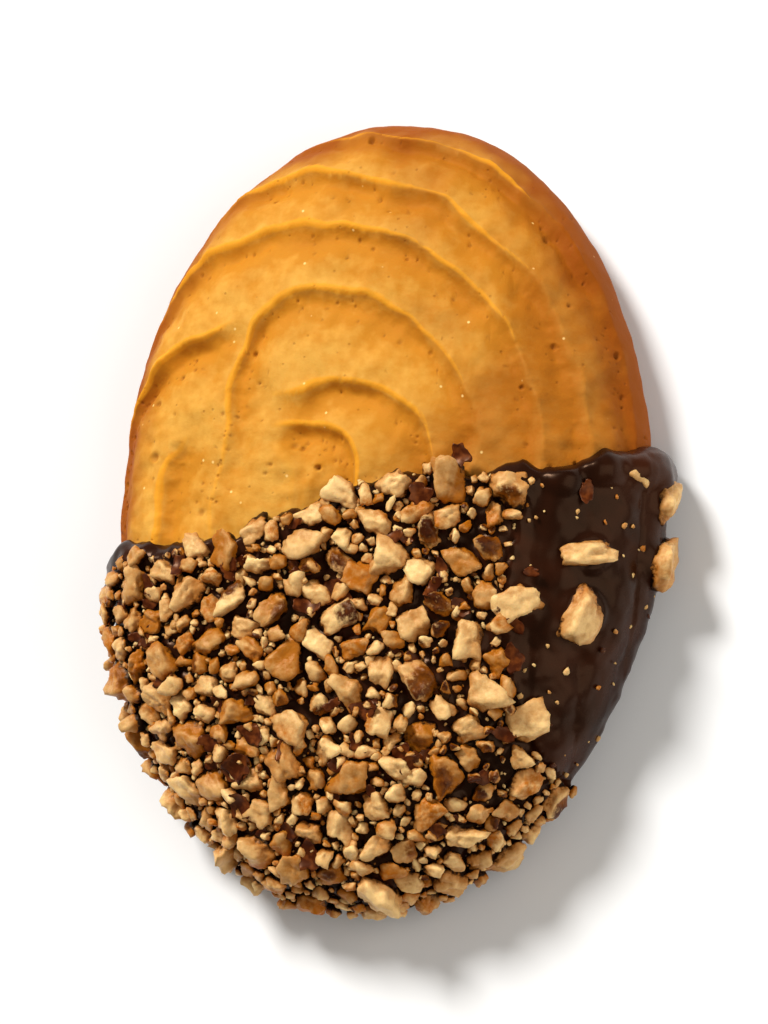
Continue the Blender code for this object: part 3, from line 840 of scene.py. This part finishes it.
class BISCUIT_OT_bake_dough(bpy.types.Operator):
    """Make the baked biscuit with its piped ridges and pores"""

    bl_idname = "biscuit.bake_dough"
    bl_label = "Bake the dough"

    def execute(self, context):
        dough, chocolate, _, _ = settings_of(context)
        form = Form(dough, chocolate)
        pores = scatter_pores(form)
        bm, angle, share = dough_grid(form, pores)
        points, normals = form.smooth_body(angle, share)
        wander = [clouds(points, WANDER_WIDTH, seed, 2) for seed in (1, 2)]
        moved = points + WANDER * np.stack([*wander, np.zeros(len(points))], axis=-1)
        reach = np.where(share < form.waist_share, np.interp(share, form.share, form.reach), 1)
        from_edge = outline(angle, dough) * (1 - reach)
        fade = EDGE_LEFT + (1 - EDGE_LEFT) * np.clip(from_edge / EDGE_FADE, 0, 1)
        fade *= np.clip(points[:, 2] / CRISP_FADE, 0, 1) ** 2
        ridge = form.ridges(moved, crisp=True)
        uneven = 1 + RIDGE_UNEVEN * clouds(points, RIDGE_UNEVEN_WIDTH, 3)
        height = dough.ridge_depth * (ridge - RIDGE_ZERO) * fade * uneven
        lumps = sum(tall * clouds(points, wide * MM, seed) for tall, wide, seed in LUMPS)
        height += lumps * MM * (LUMPS_LEFT + (1 - LUMPS_LEFT) * fade)
        covered = np.clip((dip_line(points[:, 0]) - COVERED_FROM - points[:, 1]) / COVERED_BLEND, 0, 1)
        height = height * (1 - COVERED_FLATTER * covered) - COVERED_DROP * covered
        deep, within = pore_depth(points, pores)
        places = form.in_the_frame(points + normals * (height - deep)[:, None])
        mesh = closed_mesh(bm, "biscuit_body", places)
        crest = CREST_STRENGTH * bending(form, moved, CREST_REACH)
        rim = RIM_WIDTH - from_edge - RIM_WAVE * clouds(points, RIM_WAVE_WIDTH, 7)
        # Painted shade that grows towards the right side, in soft patches
        baked = (points[:, 0] - RIGHT_SHADE_FROM) / RIGHT_SHADE_BLEND + clouds(points, RIGHT_SHADE_CLOUDS, 9)
        # Masks for the colours: crest is above 0 on a crest, for a painted highlight, and below 0 in a
        # groove, for painted shade; slope marks the steep flanks for painted shade; rim is the browned rim;
        # baked is painted shade growing towards the right side; pore is painted shade in the pores.
        values = {
            "ridge": np.clip(ridge, 0, 1),
            "crest": np.clip(crest, -1, 1) * fade,
            "slope": np.clip(steepness(form, moved) / STEEPEST - STEEP_FROM, 0, 1) * fade,
            "rim": np.clip(rim / RIM_BLEND, 0, 1),
            "baked": np.clip(baked, 0, 1) * (points[:, 2] > dough.waist),
            "pore": PORE_DARKNESS * within,
        }
        for name, value in values.items():
            write_attribute(mesh, name, value)
        add_piece("biscuit_body", mesh, baked_butter_dough(dough), "biscuit")
        return {"FINISHED"}


COAT_MERIDIANS = 360
COAT_ROWS = 150
LIP_ROWS = 9
INNER_ROWS = 14
FIT_ROUNDS = 8  # rounds in which the grid's rows settle along the chocolate's edge
COAT_HIDDEN = 0.4 * MM  # how deep the chocolate's inner side lies under the biscuit's surface
COAT_WAVES = ((2, 9, 11), (1, 3, 12))  # share of the ripple, width in mm, and seed
NUT_BED_DEPTH = 0.5 * MM  # how much thinner the chocolate is between the nuts,
NUT_BED_FROM = 0.75 * MM  # from here in
NUT_BED_BLEND = 2.5 * MM
MENISCUS_HEIGHT = 0.45 * MM
MENISCUS_WIDTH = 0.35 * MM
MENISCUS_FROM = 0.4  # share of a piece's mean width, out from its middle, where the creeping begins
EDGE_UNEVEN = 0.9 * MM
EDGE_UNEVEN_WIDTH = 3.2 * MM
# Thick drops of chocolate at the right end of its edge: x, y, radius and height in mm.
EDGE_DROPS = ((30.2, 3.6, 2.6, 1.1), (26.4, 3.0, 2.2, 0.9), (22.6, 1.2, 2.0, 0.8), (18.6, 0.2, 1.6, 0.5))
DROP_PUSH = 0.9  # how far a drop pushes the edge out, as a share of its height
# A tongue of bare chocolate beyond the nuts at the left end of the edge: x, half width and reach in mm.
EDGE_TONGUE = (-28.0, 6.0, 1.7)


def edge_swell(x):
    """How far a fine unevenness, the thick drops and the tongue push out the chocolate's edge."""
    swell = EDGE_UNEVEN * clouds(np.stack([x, 0 * x, 0 * x], axis=-1), EDGE_UNEVEN_WIDTH, 8)
    for drop_x, _, radius, height in np.array(EDGE_DROPS) * MM:
        swell = swell + DROP_PUSH * height * np.exp(-(((x - drop_x) / radius) ** 2))
    tongue_x, half_width, reach = np.array(EDGE_TONGUE) * MM
    return swell + reach * np.exp(-(((x - tongue_x) / half_width) ** 4))


def half_chords(form):
    """The left and right ends of the outline at each y, as a function of y."""
    right = np.linspace(-math.pi / 2, math.pi / 2, 721)
    left = np.linspace(-math.pi / 2, -1.5 * math.pi, 721)

    def ends(y):
        found = []
        for angle in (left, right):
            radius = outline(angle, form.dough)
            found.append(np.interp(y, radius * np.sin(angle), radius * np.cos(angle)))
        return found

    return ends


class BISCUIT_OT_dip_in_chocolate(bpy.types.Operator):
    """Make the chocolate round the dipped end, with its rounded edge"""

    bl_idname = "biscuit.dip_in_chocolate"
    bl_label = "Dip in chocolate"

    def execute(self, context):
        dough, chocolate, nuts, _ = settings_of(context)
        form = Form(dough, chocolate)
        rows = COAT_ROWS + LIP_ROWS + INNER_ROWS
        bm = bmesh.new()
        bmesh.ops.create_uvsphere(bm, u_segments=COAT_MERIDIANS, v_segments=rows, radius=1)
        directions = np.array([vertex.co[:] for vertex in bm.verts])
        row = np.rint(np.arccos(np.clip(directions[:, 2], -1, 1)) / math.pi * rows).astype(int)
        turn = np.arctan2(directions[:, 1], directions[:, 0])
        # From the tip over the outside to the lip, round the lip, and back along the inside.
        outer = np.interp(np.linspace(form.waist_share, 0, COAT_ROWS), form.share, form.reach)
        lip = np.linspace(0, math.pi / 2, LIP_ROWS + 1)[1:]
        inner = np.interp(np.linspace(0, form.waist_share, INNER_ROWS + 1)[1:], form.share, form.reach)
        back = np.zeros(INNER_ROWS + 1)
        towards_tip = np.concatenate([outer, np.zeros(LIP_ROWS), inner, [1.0]])[row]
        from_line = chocolate.lip * np.concatenate([np.ones(COAT_ROWS), 1 - np.sin(lip), back])[row]
        raised = np.concatenate([np.ones(COAT_ROWS), np.cos(lip), back])[row]
        tip = -outline(np.float64(-math.pi / 2), dough)
        ends = half_chords(form)
        y = np.zeros(len(row))
        for _ in range(FIT_ROUNDS):
            left, right = ends(y)
            x = (left + right) / 2 + (right - left) / 2 * np.cos(turn)
            y = (dip_line(x) + edge_swell(x) - from_line) * (1 - towards_tip) + tip * towards_tip
        angle = np.arctan2(y, x)
        reach = np.clip(np.hypot(x, y) / outline(angle, dough), 0, 1)
        upper = slice(None, form.waist_at + 1)
        lower = slice(form.waist_at, None)
        above = np.interp(reach, form.reach[upper], form.share[upper])
        below = np.interp(reach, form.reach[lower][::-1], form.share[lower][::-1])
        share = np.where(np.sin(turn) >= 0, above, below)
        points, normals = form.smooth_body(angle, share)
        waves = sum(part * clouds(points, wide * MM, seed) for part, wide, seed in COAT_WAVES)
        swell = chocolate.ripple * waves
        for drop_x, drop_y, radius, height in np.array(EDGE_DROPS) * MM:
            away = np.hypot(points[:, 0] - drop_x, points[:, 1] - drop_y) / radius
            swell += height * np.clip(1 - away**2, 0, 1)
        bed = np.clip((dip_line(points[:, 0]) - NUT_BED_FROM - points[:, 1]) / NUT_BED_BLEND, 0, 1)
        swell -= NUT_BED_DEPTH * bed * ~on_bare_patch(points[:, 0], points[:, 1]) * (np.sin(turn) > 0)
        relief = form.relief(points)
        outside = COAT_FILL * relief + chocolate.thickness + swell
        outside += self.menisci(form, nuts, points + normals * outside[:, None])
        hidden = relief - COAT_HIDDEN
        places = points + normals * (hidden + (outside - hidden) * raised)[:, None]
        places[:, 2] = np.maximum(places[:, 2], -chocolate.underside)
        mesh = closed_mesh(bm, "chocolate_coat", form.in_the_frame(places))
        add_piece("chocolate_coat", mesh, tempered_chocolate(chocolate), "chocolate_nut_coat")
        return {"FINISHED"}

    @staticmethod
    def menisci(form, nuts, places):
        """How far the chocolate creeps up round each nut piece."""
        raised = np.zeros(len(places))
        for angle, share, long_side, width, _ in nut_spots(form, nuts):
            middle = form.coat_surface(angle, share)
            near = np.flatnonzero(np.abs(places[:, 0] - middle[0]) < long_side)
            gap = np.linalg.norm(places[near] - middle, axis=1) - MENISCUS_FROM * (long_side + width) / 2
            climb = MENISCUS_HEIGHT * np.exp(-np.maximum(gap, 0) / MENISCUS_WIDTH)
            raised[near] = np.maximum(raised[near], climb)
        return raised


def nut_size(nuts, rank):
    return nuts.largest * (1 + rank / NUT_LARGE_COUNT) ** -NUT_FALL


def lone_spots(form):
    """The pieces that are listed, as angle, share, length, width and turn."""
    spots = []
    for x, y, long_side, width, turn in LONE_NUTS:
        angle, share = form.from_plan(x * MM, y * MM)
        share = min(share, RIM_SHARE * form.waist_share)
        spots.append((angle, share, long_side * MM, width * MM, math.radians(turn)))
    return spots


SPOTS = {}  # the pieces' places, kept because four operators use them


def nut_spots(form, nuts):
    """Angle, share, length, width and turn of each piece: the largest first, each in the widest gap found."""
    if nuts.pieces in SPOTS:
        return SPOTS[nuts.pieces]
    random = np.random.default_rng(nuts.seed)
    spots = lone_spots(form)
    taken = np.zeros((nuts.pieces, 3))
    sizes = np.zeros(nuts.pieces)
    for number, (angle, share, long_side, width, _) in enumerate(spots):
        taken[number] = form.coat_surface(np.float64(angle), np.float64(share))
        sizes[number] = (long_side + width) / 2
    rank = 0
    while len(spots) < nuts.pieces:
        size = nut_size(nuts, rank)
        rank += 1
        turn = random.uniform(0, 2 * math.pi, NUT_TRIES)
        angle = np.arctan2(form.dough.length * np.sin(turn), form.dough.width * np.cos(turn))
        share = form.waist_share * np.sqrt(random.uniform(0, 1, NUT_TRIES))
        lie = random.uniform(0, math.pi)
        middle = form.coat_surface(angle, share)
        x, y, z = middle.T
        free = (y < dip_line(x) - NUT_EDGE) & (z > NUT_LOW) & ~on_bare_patch(x, y)
        done = len(spots)
        apart = np.linalg.norm(middle[:, None] - taken[:done], axis=2)
        gap = (apart - NUT_SPACING * (sizes[:done] + size)).min(axis=1)
        if done >= SOLID_NUTS:
            free &= ~in_a_dark_gap(x, y) | (rank % GAP_FILLER == 0)
        best = np.where(free, gap, -1).argmax()
        if free[best] and gap[best] > 0:
            spots.append((angle[best], share[best], NUT_LONG * size, NUT_SLIM * size, lie))
            taken[done] = middle[best]
            sizes[done] = size
    SPOTS[nuts.pieces] = spots
    return spots


def icosphere(subdivisions):
    """The points and the triangles of a round stone, from which each piece is cut."""
    bm = bmesh.new()
    bmesh.ops.create_icosphere(bm, subdivisions=subdivisions, radius=1)
    points = np.array([vertex.co[:] for vertex in bm.verts])
    faces = np.array([[vertex.index for vertex in face.verts] for face in bm.faces])
    bm.free()
    return points, faces


def cut_stone(directions, random, sharpness):
    """How far a chopped piece reaches each way, for a size of 1, and how much each point is on each cut."""
    axes = np.concatenate([np.eye(3), -np.eye(3)]) + random.normal(0, CUT_TILT, (6, 3))
    chops = random.normal(0, 1, (CHOPS, 3))
    cuts = np.concatenate([axes, chops])
    cuts /= np.linalg.norm(cuts, axis=1, keepdims=True)
    depth = np.concatenate([random.uniform(*CUT_DEPTH, len(axes)), random.uniform(*CHOP_DEPTH, CHOPS)])
    facing = (np.maximum(directions @ cuts.T, 0) / depth) ** sharpness
    total = facing.sum(axis=1, keepdims=True)
    return total[:, 0] ** (-1 / sharpness), facing / total


def chipped(directions, reach, random):
    """The same stone with small chips broken off its corners."""
    for _ in range(CHIPS):
        towards = random.normal(0, 1, 3)
        towards /= np.linalg.norm(towards)
        facing = directions @ towards
        depth = random.uniform(*CHIP_DEPTH) * (reach * facing).max()
        reach = np.minimum(reach, depth / np.maximum(facing, 0.01))
    return reach


def bitten(directions, random):
    """How deep a few dents go, where smaller bits broke out of a piece."""
    deep = np.zeros(len(directions))
    for _ in range(BITES):
        towards = random.normal(0, 1, 3)
        towards /= np.linalg.norm(towards)
        dent = random.uniform(*BITE_DEPTH) * np.exp(-((1 - directions @ towards) / BITE_WIDTH) ** 2)
        deep = np.maximum(deep, dent)
    return deep


def laid_on_coat(form, angle, share, turn, lift):
    """The middle of a piece that lies on the chocolate, and three directions: two along it, one out of it."""
    _, up = form.smooth_body(angle, share)
    side = np.cross((1, 0, 0) if abs(up[1]) > 0.7 else (0, 1, 0), up)
    side /= np.linalg.norm(side)
    first = math.cos(turn) * side + math.sin(turn) * np.cross(up, side)
    return form.coat_surface(angle, share) + up * lift, np.stack([first, np.cross(up, first), up])


def pushed_inside(form, points):
    """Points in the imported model's frame, moved together as little as brings them all inside its box."""
    points = form.in_the_frame(points)
    low = np.maximum(np.array(CAD_BOX[0]) - points.min(axis=0), 0)
    high = np.maximum(points.max(axis=0) - np.array(CAD_BOX[1]), 0)
    return points + low - high


def chopped_piece(form, nuts, number, spot, stone):
    """One piece of hazelnut: its points, its faces, and its colour values at each point."""
    angle, share, long_side, width, turn = spot
    directions, faces = stone
    lone = number < len(LONE_NUTS)
    solid = number < SOLID_NUTS
    random = np.random.default_rng((nuts.seed, number))
    reach, on_cut = cut_stone(directions, random, NUT_SHARPNESS)
    height = (long_side + width) / 2 * random.uniform(*NUT_HEIGHT)
    looks = np.random.default_rng((nuts.seed, number, 1))
    reach = chipped(directions, reach, looks)
    shifted = directions + looks.uniform(0, 50, 3)
    swollen = sum(tall * clouds(shifted, wide, seed, octaves) for tall, wide, seed, octaves in STONE_LUMPS)
    if looks.uniform() < HOLLOW_SHARE:
        swollen -= HOLLOW_DEPTH * on_cut[:, looks.integers(6)] ** 2
    reach = reach - bitten(directions, looks)
    trim = LONE_TRIM if lone else NUT_TRIM if solid else SMALL_TRIM
    points = directions * (reach * (trim + swollen))[:, None] * (long_side, width, height)
    lean = SOLID_LEAN if solid else SMALL_LEAN
    points = points @ np.array(Matrix.Rotation(looks.uniform(-lean, lean), 3, Vector(looks.normal(0, 1, 3))))
    lift = 0 if solid else looks.uniform(0, SMALL_LIFT)
    middle, axes = laid_on_coat(form, angle, share, turn, NUT_PROUD * height + lift)
    in_gap = in_a_dark_gap(middle[0], middle[1])
    towards = looks.normal(0, 1, 3) + (0, 0, GAP_OUTSIDE_UP if in_gap else OUTSIDE_UP)
    towards /= np.linalg.norm(towards)
    outside = np.clip((directions @ towards - looks.uniform(*OUTSIDE_FROM)) * OUTSIDE_BLEND + 0.5, 0, 1)
    skinned = outside if looks.uniform() < (GAP_SKIN_SHARE if in_gap else SKIN_SHARE) else 0 * outside
    if looks.uniform() > ROAST_SHARE:
        outside = PALE_ROAST * outside
    # Painted shade, strongest at the piece's foot and fading upwards
    lower_shade = np.clip(1 - (points[:, 2] / height + LOWER_SHADE_FROM) * LOWER_SHADE_BLEND, 0, 1)
    tint = np.full(len(directions), looks.uniform(0, 1) ** TINT_FALL)
    if lone:
        tint, outside, skinned = LONE_TINT * tint, LONE_ROAST * outside, 0 * skinned
    values = {"tint": tint, "outside": outside, "skinned": skinned, "lower_shade": lower_shade}
    return pushed_inside(form, middle + points @ axes), faces, values


def joined_mesh(name, pieces):
    """One mesh of many pieces, each with its points, its triangles and its values at each point."""
    points = np.concatenate([piece[0] for piece in pieces])
    starts = np.cumsum([0] + [len(piece[0]) for piece in pieces[:-1]])
    faces = np.concatenate([piece[1] + start for piece, start in zip(pieces, starts)])
    mesh = bpy.data.meshes.new(name)
    mesh.from_pydata(points.tolist(), [], faces.tolist())
    for key in pieces[0][2]:
        write_attribute(mesh, key, np.concatenate([piece[2][key] for piece in pieces]))
    mesh.update()
    return mesh


# Each group of pieces: its name, how far it goes in the order of size, how finely its stones are divided,
# and the width of its grain.
NUT_GROUPS = (
    ("nut_pieces_large", 130, 4, 0.9 * MM),
    ("nut_pieces_middle", 420, 3, 0.7 * MM),
    ("nut_pieces_small", None, 3, 0.6 * MM),
)


class BISCUIT_OT_scatter_nuts(bpy.types.Operator):
    """Set the chopped hazelnuts in the chocolate, large and small"""

    bl_idname = "biscuit.scatter_nuts"
    bl_label = "Scatter chopped nuts"

    def execute(self, context):
        dough, chocolate, nuts, _ = settings_of(context)
        form = Form(dough, chocolate)
        spots = nut_spots(form, nuts)
        start = 0
        for name, end, subdivisions, grain in NUT_GROUPS:
            stone = icosphere(subdivisions)
            numbers = range(len(spots))[start:end]
            pieces = [chopped_piece(form, nuts, number, spots[number], stone) for number in numbers]
            made_of = chopped_hazelnut(nuts, chocolate, name.replace("nut_pieces", "chopped_hazelnut"), grain)
            add_piece(name, joined_mesh(name, pieces), made_of, "chocolate_nut_coat")
            start = end
        return {"FINISHED"}


LOOSE_EDGE = 0.4 * MM  # how far from the chocolate's edge flakes and crumbs lie,
LOOSE_OVERLAP = 0.1 * MM  # and how far they may lie under a nut
SKIN_LOW = 10 * MM  # flakes lie above this height
SKIN_ON_PATCH = 0.1  # how likely a flake stays on the bare patch
SKIN_SIZE = (1.6, 3.4)  # mm
SKIN_SLIM = (0.5, 0.9)
SKIN_THICK = 0.09 * MM
SKIN_RAGGED = 0.5
SKIN_RAGGED_WIDTH = 0.7  # for a flake of size 2
SKIN_CURL = (0.5, 1.2)
SKIN_LEAN = 0.5
SKIN_LIFT = (0.3, 1.0)  # mm
STRAY_SKIN = (12.0 * MM, 3.2 * MM, 2.8 * MM)  # x, y and size of a flake on the plain side
CRUMB_ON_PATCH = 0.05
CRUMB_SIZE = (0.2, 1.7, 0.15, 1.2)  # smallest in mm, shape and scale of what is added, and largest in mm
CRUMB_SHAPE = (1.1, 0.9, 0.8)
CRUMB_PROUD = 0.2
CRUMB_SHARPNESS = 8
CRUMB_GRAIN = 0.5 * MM
CRUMB_ROASTED = 0.2  # share of the crumbs from the outside of a kernel,
CRUMB_SKINNED = 0.1  # and with skin


def loose_places(form, nuts, count, seed, on_patch, lowest):
    """Angle and share of random places on the chocolate between the nuts, with few on the bare patch."""
    random = np.random.default_rng((nuts.seed, seed))
    spots = nut_spots(form, nuts)
    middles = np.array([form.coat_surface(spot[0], spot[1]) for spot in spots])
    radii = np.array([(spot[2] + spot[3]) / 4 for spot in spots])
    found = []
    while len(found) < count:
        turn = random.uniform(0, 2 * math.pi)
        angle = np.arctan2(form.dough.length * np.sin(turn), form.dough.width * np.cos(turn))
        share = form.waist_share * np.sqrt(random.uniform(0, 1))
        place = form.coat_surface(angle, share)
        gap = (np.linalg.norm(middles - place, axis=1) - radii).min()
        chance = GAP_CHANCE if in_a_dark_gap(place[0], place[1]) else 1
        chance = on_patch if on_bare_patch(place[0], place[1]) else chance
        if place[1] > dip_line(place[0]) - LOOSE_EDGE or place[2] < lowest or random.uniform() > chance:
            continue
        if gap > -LOOSE_OVERLAP:
            found.append((angle, share))
    return found


class BISCUIT_OT_scatter_skins(bpy.types.Operator):
    """Lay loose flakes of hazelnut skin among the nuts"""

    bl_idname = "biscuit.scatter_skins"
    bl_label = "Scatter skins"

    def execute(self, context):
        dough, chocolate, nuts, _ = settings_of(context)
        form = Form(dough, chocolate)
        directions, faces = icosphere(3)
        stray_x, stray_y, stray_size = STRAY_SKIN
        found = loose_places(form, nuts, nuts.skins, 2, SKIN_ON_PATCH, SKIN_LOW)
        pieces = []
        for number, (angle, share) in enumerate([form.from_plan(stray_x, stray_y), *found]):
            random = np.random.default_rng((nuts.seed, 3, number))
            size = random.uniform(*SKIN_SIZE) * MM if number else stray_size
            ragged = clouds(directions * (1, 1, 0) + 10 * number, SKIN_RAGGED_WIDTH, 1, 2)
            halves = (0.5 * size, 0.5 * size * random.uniform(*SKIN_SLIM), SKIN_THICK)
            points = directions * (1 + SKIN_RAGGED * ragged)[:, None] * halves
            points[:, 2] += points[:, 0] ** 2 / size * random.uniform(*SKIN_CURL)
            lean = random.uniform(-SKIN_LEAN, SKIN_LEAN)
            points = points @ np.array(Matrix.Rotation(lean, 3, Vector(random.normal(0, 1, 3))))
            turn = random.uniform(0, 2 * math.pi)
            middle, axes = laid_on_coat(form, angle, share, turn, random.uniform(*SKIN_LIFT) * MM)
            pieces.append((pushed_inside(form, middle + points @ axes), faces, {}))
        mesh = joined_mesh("hazelnut_skins", pieces)
        add_piece("hazelnut_skins", mesh, hazelnut_skin(nuts), "chocolate_nut_coat")
        return {"FINISHED"}


class BISCUIT_OT_scatter_crumbs(bpy.types.Operator):
    """Strew fine crumbs of hazelnut over the chocolate"""

    bl_idname = "biscuit.scatter_crumbs"
    bl_label = "Scatter crumbs"

    def execute(self, context):
        dough, chocolate, nuts, _ = settings_of(context)
        form = Form(dough, chocolate)
        directions, faces = icosphere(2)
        smallest, shape, scale, largest = CRUMB_SIZE
        found = loose_places(form, nuts, nuts.crumbs, 4, CRUMB_ON_PATCH, NUT_LOW)
        pieces = []
        for number, (angle, share) in enumerate(found):
            random = np.random.default_rng((nuts.seed, 5, number))
            reach, _ = cut_stone(directions, random, CRUMB_SHARPNESS)
            size = min(random.gamma(shape, scale) + smallest, largest) * MM
            points = directions * reach[:, None] * size * CRUMB_SHAPE
            turn = random.uniform(0, 2 * math.pi)
            middle, axes = laid_on_coat(form, angle, share, turn, CRUMB_PROUD * size)
            values = {
                "tint": random.uniform(0, 1),
                "outside": random.uniform() < CRUMB_ROASTED,
                "skinned": random.uniform() < CRUMB_SKINNED,
                "lower_shade": 0,
            }
            values = {name: np.full(len(points), float(value)) for name, value in values.items()}
            pieces.append((pushed_inside(form, middle + points @ axes), faces, values))
        mesh = joined_mesh("hazelnut_crumbs", pieces)
        made_of = chopped_hazelnut(nuts, chocolate, "hazelnut_crumb", CRUMB_GRAIN)
        add_piece("hazelnut_crumbs", mesh, made_of, "chocolate_nut_coat")
        return {"FINISHED"}


FLOOR_SIZE = 3.0
SUN_FROM = Vector((-0.19, 0.26, 0.29))
SUN_WIDTH = math.radians(17)  # so wide that shadows are soft
SIDE_AT = Vector((0.32, -0.02, 0.24))
SIDE_SIZE = 0.36
CAMERA_SIDE = Vector((0.906, -0.423))  # the side to which the camera leans from straight above
CAMERA_AIM = Vector((0, 0, 8 * MM))


class BISCUIT_OT_set_stage(bpy.types.Operator):
    """Make the floor, the lights and the camera"""

    bl_idname = "biscuit.set_stage"
    bl_label = "Set the stage"

    def execute(self, context):
        stage = context.scene.biscuit_stage
        bm = bmesh.new()
        bmesh.ops.create_grid(bm, x_segments=1, y_segments=1, size=FLOOR_SIZE)
        mesh = bpy.data.meshes.new("floor")
        bm.to_mesh(mesh)
        bm.free()
        mesh.materials.append(pale_floor(stage))
        floor = add_object("floor", mesh)
        sun = bpy.data.lights.new("key", "SUN")
        sun.energy = stage.key
        sun.angle = SUN_WIDTH
        side = bpy.data.lights.new("side", "AREA")
        side.energy = stage.side
        side.size = SIDE_SIZE
        for light, place in ((sun, SUN_FROM), (side, SIDE_AT)):
            lamp = add_object(light.name, light)
            lamp.location = place
            lamp.rotation_euler = (-place).to_track_quat("-Z", "Y").to_euler()
        world = bpy.data.worlds.new("white_room")
        world.use_nodes = True
        background = world.node_tree.nodes["Background"]
        background.inputs["Color"].default_value = opaque(stage.air)
        background.inputs["Strength"].default_value = stage.fill
        context.scene.world = world
        context.scene.view_settings.view_transform = "Standard"
        self.add_camera(context, stage)
        return {"FINISHED"}

    @staticmethod
    def add_camera(context, stage):
        """The camera looks down on the biscuit from its right side, a little from its dipped end."""
        towards = CAMERA_SIDE * math.sin(stage.tilt)
        back = Vector((towards.x, towards.y, math.cos(stage.tilt))).normalized()
        leaning = Vector((-math.sin(stage.roll), math.cos(stage.roll), 0))
        right = leaning.cross(back).normalized()
        above = back.cross(right)
        data = bpy.data.cameras.new("camera")
        data.lens = stage.lens
        camera = add_object("camera", data)
        camera.matrix_world = Matrix((right, above, back)).transposed().to_4x4()
        camera.location = CAMERA_AIM + back * stage.distance
        context.scene.camera = camera


OPERATORS = (
    BISCUIT_OT_bake_dough,
    BISCUIT_OT_dip_in_chocolate,
    BISCUIT_OT_scatter_nuts,
    BISCUIT_OT_scatter_skins,
    BISCUIT_OT_scatter_crumbs,
    BISCUIT_OT_set_stage,
)


class BISCUIT_PT_panel(bpy.types.Panel):
    """The biscuit's steps, in the sidebar"""

    bl_idname = "BISCUIT_PT_panel"
    bl_label = "Hazelnut biscuit"
    bl_space_type = "VIEW_3D"
    bl_region_type = "UI"
    bl_category = "Biscuit"

    def draw(self, context):
        for operator in OPERATORS:
            self.layout.operator(operator.bl_idname)
        for settings in settings_of(context):
            box = self.layout.box()
            for name in settings.__annotations__:
                box.prop(settings, name)


GROUPS = {
    "biscuit_dough": DoughSettings,
    "biscuit_chocolate": ChocolateSettings,
    "biscuit_nuts": NutSettings,
    "biscuit_stage": StageSettings,
}


def register():
    for cls in (*GROUPS.values(), *OPERATORS, BISCUIT_PT_panel):
        bpy.utils.register_class(cls)
    for name, group in GROUPS.items():
        setattr(bpy.types.Scene, name, PointerProperty(type=group))


def unregister():
    for name in GROUPS:
        delattr(bpy.types.Scene, name)
    for cls in reversed((*GROUPS.values(), *OPERATORS, BISCUIT_PT_panel)):
        bpy.utils.unregister_class(cls)


def main():
    register()
    bpy.ops.biscuit.bake_dough()
    bpy.ops.biscuit.dip_in_chocolate()
    bpy.ops.biscuit.scatter_nuts()
    bpy.ops.biscuit.scatter_skins()
    bpy.ops.biscuit.scatter_crumbs()
    bpy.ops.biscuit.set_stage()


if __name__ == "__main__":
    main()
